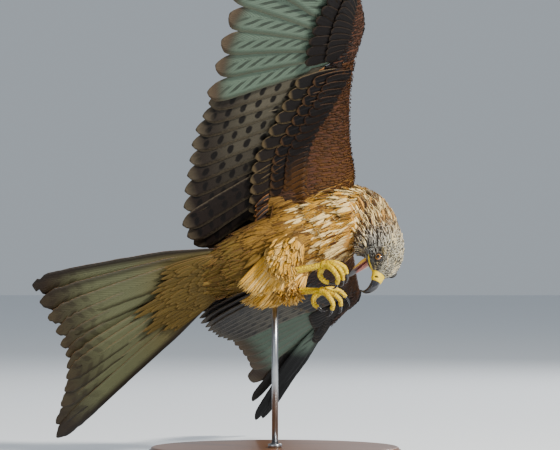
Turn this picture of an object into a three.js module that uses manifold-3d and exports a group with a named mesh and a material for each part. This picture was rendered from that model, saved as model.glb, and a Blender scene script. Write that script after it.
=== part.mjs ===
// A red kite banking in flight, life size, on a plain display stand.
// Millimetres, +Z up. The front view looks along +Y: +X is to its right.
// The origin is the centre of the underside of the stand's base.
import * as THREE from 'three';
import { mergeVertices } from 'three/addons/utils/BufferGeometryUtils.js';
import Module from 'manifold-3d';

const wasm = await Module();
wasm.setup();
const V = (x, y, z) => new THREE.Vector3(x, y, z);

// Places in the pose are given as the front view shows them: steps across and
// down from the view's top left corner, and millimetres of depth beyond the body.
const viewStep = 1.58;
const viewDistance = 6000;
const viewMiddleAcross = 280;
const viewMiddleDown = 225;
const standAcross = 275;
const eyeLevel = 370;

function seen(across, down, depth) {
  const spread = viewStep * (viewDistance + depth) / viewDistance;
  return V(
    (viewMiddleAcross - standAcross) * viewStep + (across - viewMiddleAcross) * spread,
    depth,
    eyeLevel + (viewMiddleDown - down) * spread,
  );
}

// The gap that parts one node from the next.
const gap = 0.3;

// The body's own axes: forward climbs to the right and away, right is the side
// the raised wing is on.
const climb = THREE.MathUtils.degToRad(23.5);
const turnAway = THREE.MathUtils.degToRad(14);
const bank = THREE.MathUtils.degToRad(42);
const forward = V(
  Math.cos(turnAway) * Math.cos(climb),
  Math.sin(turnAway),
  Math.cos(turnAway) * Math.sin(climb),
);
const towardViewer = V(0, -1, 0).addScaledVector(forward, forward.y).normalize();
const acrossBody = towardViewer.clone().cross(forward);
const right = towardViewer.clone().multiplyScalar(Math.sin(bank))
  .addScaledVector(acrossBody, Math.cos(bank));

// Solids and meshes.
function toSolid(geometry) {
  const bare = geometry.clone();
  bare.deleteAttribute('normal');
  bare.deleteAttribute('uv');
  const merged = mergeVertices(bare, 1e-4);
  return new wasm.Manifold(new wasm.Mesh({
    numProp: 3,
    vertProperties: new Float32Array(merged.attributes.position.array),
    triVerts: new Uint32Array(merged.index.array),
  }));
}

function signedVolume(points, faces) {
  let total = 0;
  for (let i = 0; i < faces.length; i += 3) {
    const corner = points[faces[i]].clone().cross(points[faces[i + 1]]);
    total += corner.dot(points[faces[i + 2]]);
  }
  return total;
}

function closedForm(points, faces) {
  if (signedVolume(points, faces) < 0) faces.reverse();
  const geometry = new THREE.BufferGeometry();
  geometry.setAttribute('position', new THREE.Float32BufferAttribute(
    points.flatMap((p) => [p.x, p.y, p.z]), 3));
  geometry.setIndex(faces);
  return toSolid(geometry);
}

// A closed skin over rings of points, with a fan over each end ring.
function loft(rings) {
  const count = rings[0].length;
  const points = rings.flat();
  const faces = [];
  for (let i = 0; i + 1 < rings.length; i += 1) {
    for (let j = 0; j < count; j += 1) {
      const a = i * count + j;
      const b = i * count + ((j + 1) % count);
      faces.push(a, b, b + count, a, b + count, a + count);
    }
  }
  const lastRing = (rings.length - 1) * count;
  for (let j = 1; j + 1 < count; j += 1) {
    faces.push(0, j + 1, j, lastRing, lastRing + j, lastRing + j + 1);
  }
  return closedForm(points, faces);
}

function joinAll(solids) {
  return wasm.Manifold.union(solids);
}

function largest(solid) {
  return solid.decompose().reduce((best, piece) => (
    piece.volume() > best.volume() ? piece : best));
}

// The body of a cut solid whose middle is nearest to a point; crumbs don't count.
const crumb = 50;

function pieceNear(solid, point) {
  let best = null;
  let bestDistance = Infinity;
  for (const piece of solid.decompose()) {
    if (piece.volume() > crumb) {
      const box = piece.boundingBox();
      const middle = V(
        (box.min[0] + box.max[0]) / 2,
        (box.min[1] + box.max[1]) / 2,
        (box.min[2] + box.max[2]) / 2,
      );
      const distance = middle.distanceTo(point);
      if (distance < bestDistance) {
        best = piece;
        bestDistance = distance;
      }
    }
  }
  return best;
}

// A thin square plate across a limb, to part it in two.
function partingPlate(centre, normal, width) {
  const plate = new THREE.BoxGeometry(width, width, gap);
  const turn = new THREE.Quaternion().setFromUnitVectors(V(0, 0, 1), normal.clone().normalize());
  plate.applyQuaternion(turn);
  plate.translate(centre.x, centre.y, centre.z);
  return toSolid(plate);
}

function ball(centre, radius, detail) {
  const sphere = new THREE.SphereGeometry(radius, detail, Math.round(detail / 2));
  sphere.translate(centre.x, centre.y, centre.z);
  return toSolid(sphere);
}

const model = new THREE.Group();
model.name = 'red_kite_display';

// Slivers left by the unions and cuts, finer than this, are merged away.
const sliver = 0.03;

function addNode(name, solid, colour, roughness, metalness = 0) {
  const mesh = solid.asOriginal().simplify(sliver).getMesh();
  const geometry = new THREE.BufferGeometry();
  geometry.setAttribute('position', new THREE.BufferAttribute(
    new Float32Array(mesh.vertProperties), 3));
  geometry.setIndex(new THREE.BufferAttribute(new Uint32Array(mesh.triVerts), 1));
  geometry.computeVertexNormals();
  const material = new THREE.MeshStandardMaterial({ color: colour, roughness, metalness });
  const node = new THREE.Mesh(geometry, material);
  node.name = name;
  model.add(node);
}

// A ring across a limb: half widths to the side, above and below.
function limbRing(centre, along, sideHint, half, above, below, count) {
  const side = sideHint.clone().addScaledVector(along, -sideHint.dot(along)).normalize();
  const up = side.clone().cross(along);
  const ring = [];
  for (let i = 0; i < count; i += 1) {
    const angle = (i / count) * 2 * Math.PI;
    const rise = Math.sin(angle) * (Math.sin(angle) > 0 ? above : below);
    ring.push(centre.clone()
      .addScaledVector(side, half * Math.cos(angle))
      .addScaledVector(up, rise));
  }
  return ring;
}

// A limb follows a smooth line through its keys: [place, half width, above, below].
function limb(keys, sideStart, sideEnd, stations, count, swell = 0) {
  const line = new THREE.CatmullRomCurve3(keys.map((key) => key[0]), false, 'centripetal');
  const rings = [];
  for (let i = 0; i <= stations; i += 1) {
    const t = i / stations;
    const place = t * (keys.length - 1);
    const k = Math.min(Math.floor(place), keys.length - 2);
    const mix = place - k;
    const size = (n) => swell + THREE.MathUtils.lerp(keys[k][n], keys[k + 1][n], mix);
    rings.push(limbRing(
      line.getPoint(t),
      line.getTangent(t).normalize(),
      sideStart.clone().lerp(sideEnd, t),
      size(1), size(2), size(3), count,
    ));
  }
  return loft(rings);
}

// Seeded draw for the small differences between feathers.
function draw(seed) {
  let state = seed;
  return () => {
    state = (state * 1664525 + 1013904223) % 4294967296;
    return state / 4294967296;
  };
}

function lineThrough(places) {
  return new THREE.CatmullRomCurve3(places, false, 'centripetal');
}

// Torso, neck and head.
const headSide = V(-0.42, -0.74, 0.51).normalize();
const headForward = V(-0.25, -0.45, -0.86).normalize();
const headUp = headSide.clone().cross(headForward).normalize();
const headCentre = seen(383.5, 261, -58);
const tailRoot = seen(221, 272, -56);

const torsoKeys = [
  [tailRoot, 44, 20, 24],
  [seen(238, 263.5, -48), 54, 31, 38],
  [seen(262, 253, -38), 60, 41, 48],
  [seen(290, 241, -26), 63, 48, 54],
  [seen(320, 228.5, -13), 65, 52, 58],
  [seen(345, 218, -2), 62, 51, 55],
  [seen(362, 210.5, 5), 50, 42, 44],
  [seen(373, 205.5, 10), 26, 24, 24],
];
const neckKeys = [
  [seen(335, 222, -5), 42, 42, 28],
  [seen(356, 216, -3), 50, 43, 36],
  [seen(372, 222, -18), 46, 37, 42],
  [seen(382.5, 237.5, -40), 36, 31, 44],
  [seen(385.5, 251, -52), 31, 29, 41],
  [headCentre, 29, 28, 32],
  [seen(381.5, 270, -65), 22, 20, 20],
  [seen(379.5, 276, -70), 13, 12, 12],
];

function torsoForm(swell) {
  return limb(torsoKeys, right, right, 12, 18, swell);
}

function neckForm(swell) {
  return limb(neckKeys, right, headSide, 12, 16, swell);
}

// The neck rises from the torso's own surface; a thin cut parts it from the head.
const torso = torsoForm(0);
const torsoClear = torsoForm(gap);
const fleshClear = joinAll([torsoClear, neckForm(gap)]);
const headBase = seen(384.5, 244, -45);
const headCut = neckForm(0).subtract(torsoClear)
  .subtract(partingPlate(headBase, headForward, 160));
const neck = pieceNear(headCut, seen(375, 225, -20));
const headFlesh = pieceNear(headCut, headCentre);

// The head's own places: millimetres forward, to the right and up.
function onHead(ahead, across, above) {
  return headCentre.clone()
    .addScaledVector(headForward, ahead)
    .addScaledVector(headSide, across)
    .addScaledVector(headUp, above);
}

// Eyes sit in sockets with raised lids and a brow ridge over them.
const eyeRadius = 7;
const eyeAhead = 8;
const eyeAcross = 23;
const eyeAbove = 6;
const lidThickness = 1.3;

function eyePlace(side) {
  return onHead(eyeAhead, side * eyeAcross, eyeAbove);
}

function lidRing(side) {
  const ring = new THREE.TorusGeometry(eyeRadius - 0.6, lidThickness, 5, 14);
  const outward = headSide.clone().multiplyScalar(side);
  ring.applyQuaternion(new THREE.Quaternion().setFromUnitVectors(V(0, 0, 1), outward));
  const place = eyePlace(side).addScaledVector(outward, 3.6);
  ring.translate(place.x, place.y, place.z);
  return toSolid(ring);
}

function browRidge(side) {
  return limb([
    [onHead(-8, side * 23, 13), 2, 2, 3],
    [onHead(4, side * 25, 14), 3.4, 2.6, 4],
    [onHead(14, side * 21, 12), 3, 2.2, 3],
    [onHead(23, side * 13, 8), 1.2, 1.2, 1.5],
  ], headUp, headUp, 4, 8);
}

// The bill: a yellow cere with slit nostrils, a hooked upper part, and a lower
// part that hangs open from the corner of the mouth.
const cereKeys = [
  [onHead(18, 0, -2), 13.5, 12, 11.5],
  [onHead(28, 0, -2.8), 11.6, 10.6, 9.4],
  [onHead(37.5, 0, -3.8), 9, 9.2, 7],
];
const hookKeys = [
  [onHead(37, 0, -3.7), 8.4, 8.6, 6.4],
  [onHead(46, 0, -6), 7, 7.8, 6],
  [onHead(52.5, 0, -11), 5, 5.6, 4.6],
  [onHead(55.6, 0, -18), 3, 3, 2.6],
  [onHead(53.6, 0, -26), 0.6, 0.6, 0.6],
];
const gapeDrop = THREE.MathUtils.degToRad(50);
const gapeCorner = onHead(-2, 0, -18.5);

function onLowerBill(ahead, above, drop = gapeDrop) {
  return gapeCorner.clone()
    .addScaledVector(headForward, ahead * Math.cos(drop) + above * Math.sin(drop))
    .addScaledVector(headUp, above * Math.cos(drop) - ahead * Math.sin(drop));
}

const lowerBillKeys = [
  [onLowerBill(-2, -3), 12, 2.4, 4],
  [onLowerBill(16, -3), 10.4, 2.2, 4.6],
  [onLowerBill(32, -2.4), 7.2, 2, 4.2],
  [onLowerBill(43, -1.2), 3.8, 1.6, 2.8],
  [onLowerBill(48, -0.4), 1, 0.8, 0.9],
];
const tongueKeys = [
  [onLowerBill(3, 1.4), 5, 1.8, 3],
  [onLowerBill(18, 1.2), 4.4, 1.4, 1.4],
  [onLowerBill(29, 2), 2.6, 1, 1],
  [onLowerBill(34, 2.8), 0.8, 0.6, 0.6],
];

function billPiece(keys, swell) {
  return limb(keys, headSide, headSide, 7, 10, swell);
}

// The open mouth is a wedge that widens forward from the corner.
const mouthHollow = limb([
  [onLowerBill(-1, 0, gapeDrop / 2), 11, 1, 1],
  [onLowerBill(14, 0, gapeDrop / 2), 24, 5, 5],
  [onLowerBill(40, 0, gapeDrop / 2), 27, 15, 15],
], headSide, headSide, 4, 10);

function nostril(side) {
  return limb([
    [onHead(33.5, side * 5, 0.5), 0.6, 2.4, 2.4],
    [onHead(34, side * 14, -0.5), 1.2, 3.2, 3.2],
  ], headForward, headForward, 2, 8);
}

const sockets = joinAll([
  ball(eyePlace(1), eyeRadius + gap, 14),
  ball(eyePlace(-1), eyeRadius + gap, 14),
]);
const cere = billPiece(cereKeys, 0);
const cereClear = billPiece(cereKeys, gap);
const hook = billPiece(hookKeys, 0);
const lowerBill = billPiece(lowerBillKeys, 0);
const lowerBillClear = billPiece(lowerBillKeys, gap);
const head = largest(joinAll([
  headFlesh, lidRing(1), lidRing(-1), browRidge(1), browRidge(-1),
]).subtract(joinAll([
  sockets, mouthHollow, cereClear, lowerBillClear, billPiece(tongueKeys, gap),
])));

// Legs. The thighs wear long trousers of feathers; the feet are held up to the
// bill with the toes curled.
const thighKeys = {
  right: [
    [seen(292, 240, -40), 30, 26, 26],
    [seen(287, 250, -76), 31, 24, 28],
    [seen(283, 261, -96), 26, 18, 24],
    [seen(288, 269, -106), 16, 11, 14],
    [seen(296, 270.5, -110), 8, 7, 7.5],
  ],
  left: [
    [seen(298, 256, -8), 28, 22, 24],
    [seen(293, 275, -22), 27, 21, 24],
    [seen(290, 287, -38), 19, 15, 18],
    [seen(296, 291, -52), 10, 8.5, 9.5],
    [seen(301, 291, -58), 6.5, 6, 6],
  ],
};
// Trouser locks run back from the thigh: where the first and last start and end.
const trouserLocks = {
  right: {
    starts: [seen(275, 250, -84), seen(279, 262, -96), seen(288, 270, -104)],
    ends: [seen(235, 286, -92), seen(243, 293, -98), seen(259, 297, -104), seen(281, 291, -112)],
  },
  left: {
    starts: [seen(283, 278, -14), seen(286, 284, -32), seen(291, 290, -44)],
    ends: [seen(240, 303, -22), seen(252, 309, -34), seen(270, 309, -50), seen(288, 303, -62)],
  },
};
const lockCount = 8;
const lockRoot = 12;
const lockTip = 0.9;

function trousers(side) {
  const starts = lineThrough(trouserLocks[side].starts);
  const ends = lineThrough(trouserLocks[side].ends);
  const chance = draw(side === 'right' ? 5 : 7);
  const locks = [];
  for (let i = 0; i < lockCount; i += 1) {
    const u = i / (lockCount - 1);
    const start = starts.getPoint(u);
    const end = start.clone().lerp(ends.getPoint(u), 0.86 + 0.14 * chance());
    const size = lockRoot * (0.85 + 0.3 * chance());
    locks.push(limb([
      [start.clone().lerp(end, -0.12), size * 0.8, size * 0.7, size * 0.7],
      [start.clone().lerp(end, 0.4), size * 0.72, size * 0.5, size * 0.5],
      [start.clone().lerp(end, 0.78), size * 0.4, size * 0.26, size * 0.26],
      [end, lockTip, lockTip * 0.7, lockTip * 0.7],
    ], forward, forward, 3, 5));
  }
  return locks;
}

const ankle = { right: seen(299, 270, -110.5), left: seen(303, 291, -60) };
const knuckle = { right: seen(324, 265, -120), left: seen(322, 291, -76) };

function thigh(side, swell) {
  return limb(thighKeys[side], forward, forward, 7, 12, swell);
}

// A scaly limb: raised plates in a row, each followed by a groove.
const plateRise = 0.55;

function scaly(line, startSize, endSize, plateCount, sideHint, count, swell = 0) {
  const keys = [];
  for (let i = 0; i <= 2 * plateCount; i += 1) {
    const t = i / (2 * plateCount);
    const size = THREE.MathUtils.lerp(startSize, endSize, t);
    const plate = i % 2 === 1 ? plateRise : -plateRise / 2;
    keys.push([line.getPoint(t), size, size + plate, size + plate]);
  }
  return limb(keys, sideHint, sideHint, 2 * plateCount, count, swell);
}

const tarsusPlates = 6;
const tarsusStart = 5.2;
const tarsusEnd = 4.4;

function tarsus(side, swell) {
  const far = ankle[side].clone().lerp(knuckle[side], 0.8);
  const line = lineThrough([ankle[side], far]);
  return scaly(line, tarsusStart, tarsusEnd, tarsusPlates, forward, 8, swell);
}

// Toe lines, from the knuckle to the root of the claw, then the claw's tip.
const toeLines = {
  right: [
    [seen(327, 263, -122), seen(336, 266, -134), seen(342, 273, -136), seen(343, 280, -130)],
    [seen(326, 265, -128), seen(333, 270, -142), seen(338, 278, -143), seen(337, 284, -136)],
    [seen(327, 264, -116), seen(336, 263, -112), seen(345, 268, -108), seen(347, 274, -106)],
    [seen(322, 268, -118), seen(320, 275, -116), seen(324, 281, -118), seen(329, 283, -120)],
  ],
  left: [
    [seen(325, 291, -78), seen(333, 294, -84), seen(340, 300, -84), seen(341, 306, -80)],
    [seen(324, 292, -84), seen(329, 297, -94), seen(333, 304, -96), seen(332, 310, -92)],
    [seen(325, 290, -72), seen(333, 289, -66), seen(341, 292, -62), seen(346, 297, -60)],
    [seen(319, 293, -74), seen(314, 298, -72), seen(314, 304, -72), seen(318, 308, -74)],
  ],
};
const toeStart = 4.6;
const toeEnd = 2.7;
const clawLength = 15;

const toePlates = 4;
const toeSide = V(0.2, -0.6, 0.5);

function toe(places) {
  return scaly(lineThrough(places), toeStart, toeEnd, toePlates, toeSide, 6);
}

function foot(side) {
  const lines = toeLines[side];
  const palm = ball(knuckle[side], 6.6, 10);
  return largest(joinAll([palm, ...lines.map(toe)]).subtract(tarsus(side, gap)));
}

// A claw goes on from its toe and bends on the way the toe bends.
function claw(line) {
  const end = line[3];
  const along = end.clone().sub(line[2]).normalize();
  const before = line[2].clone().sub(line[1]).normalize();
  const inward = along.clone().sub(before);
  inward.addScaledVector(along, -inward.dot(along)).normalize();
  const place = (ahead, bend) => end.clone()
    .addScaledVector(along, ahead)
    .addScaledVector(inward, bend);
  return limb([
    [place(gap + 0.2, 0), 2.3, 2.3, 2.3],
    [place(clawLength * 0.45, 1.4), 1.8, 1.8, 1.8],
    [place(clawLength * 0.8, 5), 1, 1, 1],
    [place(clawLength * 0.9, 8.5), 0.35, 0.35, 0.35],
  ], inward, inward, 4, 6);
}

// Feathers. Each vane is a thin strip that widens from a narrow root, bends a
// little down towards its tip, and has its front edge lifted, so that each lies
// under the one before it with a slit between them.
const vaneThickness = 0.75;
const tipThickness = 0.55;
const flightShape = {
  places: [0, 0.3, 0.84, 0.95, 1],
  widths: [0.3, 0.9, 1, 0.66, 0.22],
};
const fingerShape = {
  places: [0, 0.25, 0.5, 0.66, 0.92, 1],
  widths: [0.28, 0.8, 1, 0.72, 0.55, 0.18],
};
const covertShape = {
  places: [0, 0.5, 0.85, 1],
  widths: [0.5, 1, 0.86, 0.28],
};

// The front edge is on the right of a vane seen from above with its root towards
// the viewer when hand is 1, and on the left when it is -1.
function vane(options) {
  const { root, tip, normal, hand, front, back, rootLift, tipLift, bow, shape } = options;
  const swell = options.swell ?? 0;
  const length = root.distanceTo(tip);
  const along = tip.clone().sub(root).normalize();
  const side = normal.clone().cross(along).normalize().multiplyScalar(hand);
  const up = side.clone().cross(along).multiplyScalar(-hand);
  const points = [];
  shape.places.forEach((t, i) => {
    const lift = THREE.MathUtils.lerp(rootLift, tipLift, t);
    const edge = side.clone().multiplyScalar(Math.cos(lift)).addScaledVector(up, Math.sin(lift));
    const face = up.clone().multiplyScalar(Math.cos(lift)).addScaledVector(side, -Math.sin(lift));
    const middle = root.clone().addScaledVector(along, t * length)
      .addScaledVector(up, bow * 4 * t * (1 - t));
    const half = swell + THREE.MathUtils.lerp(vaneThickness, tipThickness, t) / 2;
    const fore = front * shape.widths[i] + swell;
    const aft = -back * shape.widths[i] - swell;
    for (const [width, rise] of [[fore, half], [fore, -half], [aft, -half], [aft, half]]) {
      points.push(middle.clone()
        .addScaledVector(edge, width)
        .addScaledVector(face, rise));
    }
  });
  const faces = [0, 1, 2, 0, 2, 3];
  const last = points.length - 4;
  faces.push(last, last + 2, last + 1, last, last + 3, last + 2);
  for (let i = 0; i < last; i += 4) {
    // Edge faces, then the two broad faces with their splits on the same line.
    faces.push(i, i + 5, i + 1, i, i + 4, i + 5);
    faces.push(i + 2, i + 7, i + 3, i + 2, i + 6, i + 7);
    faces.push(i + 1, i + 5, i + 6, i + 1, i + 6, i + 2);
    faces.push(i, i + 7, i + 4, i, i + 3, i + 7);
  }
  return closedForm(points, faces);
}

// The flight feathers of one wing section grow from its root line to its tip line.
// Rows of coverts share their directions: each starts further forward, lies
// further out from the blade's middle, and ends sooner.
function featherRow(wing, row, swell = 0) {
  const roots = lineThrough(wing.roots);
  const tips = lineThrough(wing.tips);
  const vanes = [];
  const chance = draw(row.seed);
  for (let i = 0; i < row.count; i += 1) {
    const u = row.count === 1 ? 0.5 : (i / (row.count - 1)) * (row.to - row.from) + row.from;
    const root = roots.getPoint(u);
    const tip = tips.getPoint(u);
    const along = tip.clone().sub(root).normalize();
    const normal = wing.normalIn.clone().lerp(wing.normalOut, u).normalize();
    const length = root.distanceTo(tip);
    const reach = row.reach ? row.reach(u, length) : length;
    const wander = 1 + 0.03 * (chance() - 0.5);
    vanes.push(vane({
      root: root.clone().addScaledVector(along, -row.forward).addScaledVector(normal, row.rise),
      tip: root.clone().addScaledVector(along, reach * wander)
        .addScaledVector(normal, row.tipRise ?? row.rise),
      normal,
      hand: wing.hand * (row.outward ?? 1),
      front: row.front * wing.vaneWidth,
      back: row.back * wing.vaneWidth,
      rootLift: row.rootLift,
      tipLift: row.tipLift,
      bow: row.bow,
      shape: row.shape,
      swell,
    }));
  }
  return vanes;
}

// Wings. Each blade is a row of sections from the shoulder outward: a place on
// the leading edge, a place on the trailing edge, and a thickness between.
function wingBlade(sections, normal, stations, count, swell = 0) {
  const leading = lineThrough(sections.map((s) => s[0]));
  const trailing = lineThrough(sections.map((s) => s[1]));
  const rings = [];
  for (let i = 0; i <= stations; i += 1) {
    const t = i / stations;
    const k = Math.min(Math.floor(t * (sections.length - 1)), sections.length - 2);
    const mix = t * (sections.length - 1) - k;
    const thickness = 2 * swell + THREE.MathUtils.lerp(sections[k][2], sections[k + 1][2], mix);
    const front = leading.getPoint(t);
    const back = trailing.getPoint(t);
    const chordwise = back.clone().sub(front).normalize().multiplyScalar(swell);
    front.sub(chordwise);
    back.add(chordwise);
    if (i === stations) {
      front.addScaledVector(leading.getTangent(1), swell);
      back.addScaledVector(leading.getTangent(1), swell);
    }
    const ring = [];
    for (let j = 0; j < count; j += 1) {
      const angle = (j / count) * 2 * Math.PI;
      const chord = 0.5 - 0.5 * Math.cos(angle);
      const taper = 1.2 - 0.6 * chord;
      ring.push(front.clone().lerp(back, chord)
        .addScaledVector(normal, 0.5 * thickness * Math.sin(angle) * taper));
    }
    rings.push(ring);
  }
  return loft(rings);
}

const armNormalRight = V(-0.31, 0.85, 0.39).normalize();
const handNormalRight = V(-0.4, 0.62, 0.68).normalize();
const armNormalLeft = V(-0.42, 0.38, 0.82).normalize();
const handNormalLeft = V(0.05, 0.52, 0.85).normalize();

const arms = {
  right: {
    hand: 1,
    vaneWidth: 1,
    normalIn: armNormalRight,
    normalOut: armNormalRight.clone().lerp(handNormalRight, 0.4).normalize(),
    sections: [
      [seen(347, 202, -18), seen(272, 236, -38), 34],
      [seen(356, 178, -34), seen(270, 202, -60), 30],
      [seen(352, 140, -62), seen(276, 152, -88), 24],
      [seen(352, 95, -96), seen(302, 106, -114), 19],
      [seen(357, 56, -121), seen(328, 66, -132), 16],
    ],
    roots: [
      seen(288, 208, -44), seen(289, 178, -68), seen(293, 148, -86),
      seen(314, 108, -110), seen(335, 69, -127),
    ],
    tips: [
      seen(236, 232, -6), seen(203, 246, -34), seen(185, 234, -82), seen(184, 199, -108),
      seen(188, 166, -134), seen(196, 132, -158), seen(209, 103, -182),
    ],
  },
  left: {
    hand: -1,
    vaneWidth: 1,
    normalIn: armNormalLeft,
    normalOut: armNormalLeft.clone().lerp(handNormalLeft, 0.5).normalize(),
    sections: [
      [seen(348, 230, 22), seen(298, 256, 22), 34],
      [seen(352, 241, 60), seen(298, 268, 62), 30],
      [seen(355, 257, 120), seen(300, 284, 122), 24],
      [seen(358, 275, 190), seen(316, 293, 196), 19],
      [seen(361, 290, 252), seen(336, 301, 268), 16],
    ],
    roots: [
      seen(312, 252, 44), seen(309, 264, 84), seen(310, 278, 124),
      seen(326, 288, 194), seen(343, 296, 256),
    ],
    tips: [
      seen(236, 282, 66), seen(206, 306, 60), seen(199, 320, 66), seen(207, 329, 104),
      seen(214, 334, 154), seen(222, 338, 218), seen(232, 342, 292),
    ],
  },
};
const hands = {
  right: {
    hand: 1,
    vaneWidth: 1,
    normalIn: handNormalRight,
    normalOut: handNormalRight,
    sections: [
      [seen(357.4, 54.9, -121.9), seen(328.5, 64.8, -132.9), 16],
      [seen(365, 27, -143), seen(334, 38, -158), 14],
      [seen(363, 2, -172), seen(338, 12, -188), 11],
      [seen(359, -20, -200), seen(346, -12, -210), 7],
    ],
    roots: [seen(339, 52, -138), seen(346, 22, -167), seen(353, -6, -196)],
    tips: [
      seen(208, 92, -214), seen(215, 65, -250), seen(222, 40, -283), seen(229, 13, -316),
      seen(236, -15, -354), seen(246, -48, -404), seen(263, -88, -452), seen(286, -112, -484),
      seen(308, -117, -488), seen(329, -99, -455),
    ],
  },
  left: {
    hand: -1,
    vaneWidth: 0.85,
    normalIn: handNormalLeft,
    normalOut: handNormalLeft,
    sections: [
      [seen(361.2, 290.9, 253.4), seen(336, 301.8, 269.6), 16],
      [seen(358, 300, 282), seen(334, 310, 298), 14],
      [seen(347, 311, 318), seen(327, 318, 330), 11],
      [seen(334, 325, 352), seen(323, 326, 358), 7],
    ],
    roots: [seen(342, 301, 276), seen(336, 310, 312), seen(329, 319, 348)],
    tips: [
      seen(236, 345, 340), seen(240, 350, 376), seen(245, 356, 412), seen(250, 363, 452),
      seen(254, 370, 500), seen(253, 383, 556), seen(253, 401, 606), seen(256, 420, 634),
      seen(263, 418, 634), seen(271, 409, 602),
    ],
  },
};

const degree = Math.PI / 180;
const secondaryCount = 12;
const primaryCount = 10;
const armRows = [
  {
    seed: 11, count: secondaryCount, from: 0, to: 1, forward: 16, rise: 0,
    front: 15, back: 23, rootLift: 5 * degree, tipLift: 3.4 * degree, bow: 4, shape: flightShape,
  },
  {
    seed: 23, count: 8, from: 0.03, to: 0.98, forward: 26, rise: -3.8, tipRise: -3.4,
    reach: (u) => 78 - 14 * u, front: 13, back: 19,
    rootLift: 5 * degree, tipLift: 4 * degree, bow: 1.5, shape: covertShape,
  },
  {
    seed: 37, count: 8, from: 0.03, to: 0.98, forward: 26, rise: 3.8, tipRise: 3.8,
    reach: (u) => 84 - 14 * u, front: 13, back: 19,
    rootLift: 5 * degree, tipLift: 4 * degree, bow: 1.5, shape: covertShape,
  },
  {
    seed: 41, count: 5, from: 0.06, to: 0.92, forward: 40, rise: -6.4, tipRise: -6.9,
    reach: () => 34, front: 14, back: 18,
    rootLift: 5 * degree, tipLift: 4.6 * degree, bow: 1, shape: covertShape,
  },
  {
    seed: 53, count: 5, from: 0.06, to: 0.92, forward: 40, rise: 6.4, tipRise: 6.9,
    reach: () => 36, front: 14, back: 18,
    rootLift: 5 * degree, tipLift: 4.6 * degree, bow: 1, shape: covertShape,
  },
];
const handRows = [
  {
    seed: 61, count: 6, from: 0, to: 5 / 9, forward: 12, rise: 0,
    front: 17, back: 30, rootLift: 7 * degree, tipLift: 3 * degree, bow: 4, shape: flightShape,
  },
  {
    seed: 67, count: 4, from: 6 / 9, to: 1, forward: 12, rise: 0,
    front: 13, back: 24, rootLift: 7 * degree, tipLift: 4 * degree, bow: 5, shape: fingerShape,
  },
  {
    seed: 71, count: 5, from: 0.05, to: 0.92, forward: 16, rise: -4.2, tipRise: -4.6,
    reach: (u) => 58 + 18 * u, front: 11, back: 15,
    rootLift: 6 * degree, tipLift: 5 * degree, bow: 1, shape: covertShape,
  },
  {
    seed: 73, count: 5, from: 0.05, to: 0.92, forward: 16, rise: 4.2, tipRise: 4.6,
    reach: (u) => 60 + 18 * u, front: 11, back: 15,
    rootLift: 6 * degree, tipLift: 5 * degree, bow: 1, shape: covertShape,
  },
];

function armBlade(side, swell) {
  return wingBlade(arms[side].sections, arms[side].normalIn, 7, 10, swell);
}

function arm(side) {
  const wing = arms[side];
  return largest(joinAll([armBlade(side, 0), ...armRows.flatMap((row) => featherRow(wing, row))])
    .subtract(fleshClear));
}

// The alula: three stiff feathers that lie along the hand's leading edge.
const alulaCount = 3;
const alulaReach = 62;

function alula(wing) {
  const edge = lineThrough(wing.sections.map((section) => section[0]));
  const vanes = [];
  for (let i = 0; i < alulaCount; i += 1) {
    const root = edge.getPoint(0.1).addScaledVector(wing.normalIn, 3 + 1.6 * i);
    const toward = edge.getPoint(0.62 - 0.1 * i).sub(root).normalize();
    vanes.push(vane({
      root,
      tip: root.clone().addScaledVector(toward, alulaReach - 12 * i),
      normal: wing.normalIn,
      hand: wing.hand,
      front: 4,
      back: 11 - 2 * i,
      rootLift: 0,
      tipLift: 0,
      bow: 1.5,
      shape: covertShape,
    }));
  }
  return vanes;
}

function hand(side) {
  const wing = hands[side];
  const blade = wingBlade(wing.sections, wing.normalIn, 5, 10);
  const rows = handRows.flatMap((row) => featherRow(wing, row));
  return largest(joinAll([blade, ...rows, ...alula(wing)])
    .subtract(joinAll([
      armBlade(side, gap),
      ...armRows.map((row) => featherRow(arms[side], row, gap).at(-1)),
    ])));
}

// The tail: twelve feathers in a forked fan. The outer ones lie under the inner
// ones, and both halves grow from a flat root behind the torso.
const tailNormal = V(-0.44, 0.72, 0.54).normalize();
const tailBase = {
  hand: 1,
  vaneWidth: 1,
  normalIn: tailNormal,
  normalOut: tailNormal,
  roots: [
    seen(215, 253, -84), seen(214, 274, -60), seen(217, 294, -32),
  ],
  tips: [
    seen(33, 286, -225), seen(48, 316, -196), seen(60, 342, -162), seen(67, 362, -138),
    seen(66, 382, -116), seen(59, 410, -86), seen(55, 439, -56),
  ],
};
const halfLift = 2.8;
const tailRows = [];
for (const half of [0, 1]) {
  tailRows.push({
    seed: 83 + half, count: 6, from: half === 0 ? 5 / 11 : 6 / 11, to: half, forward: 10,
    rise: half === 0 ? halfLift : 0, tipRise: half === 0 ? halfLift : 0,
    front: 18, back: 24, rootLift: 8.5 * degree, tipLift: 3.4 * degree, bow: 3,
    shape: flightShape, outward: half === 0 ? 1 : -1,
  });
}
for (const face of [-1, 1]) {
  tailRows.push({
    seed: 91 + face, count: 6, from: 0.06, to: 0.94, forward: 14,
    rise: face < 0 ? -5.2 : 7.6, tipRise: face < 0 ? -6 : 8.4,
    reach: (u) => (face < 0 ? 118 : 92) - 50 * Math.abs(u - 0.5),
    front: 13, back: 17, rootLift: 5 * degree, tipLift: 4 * degree, bow: 1.5,
    shape: covertShape,
  });
}
const tailLump = limb([
  [tailRoot.clone().addScaledVector(forward, 30), 40, 22, 18],
  [tailRoot, 43, 19, 21],
  [tailRoot.clone().addScaledVector(forward, -22), 44, 14, 15],
  [tailRoot.clone().addScaledVector(forward, -42), 38, 7, 8],
], right, right, 5, 16);
const tail = largest(joinAll([
  tailLump, ...tailRows.flatMap((row) => featherRow(tailBase, row)),
]).subtract(fleshClear));

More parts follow.
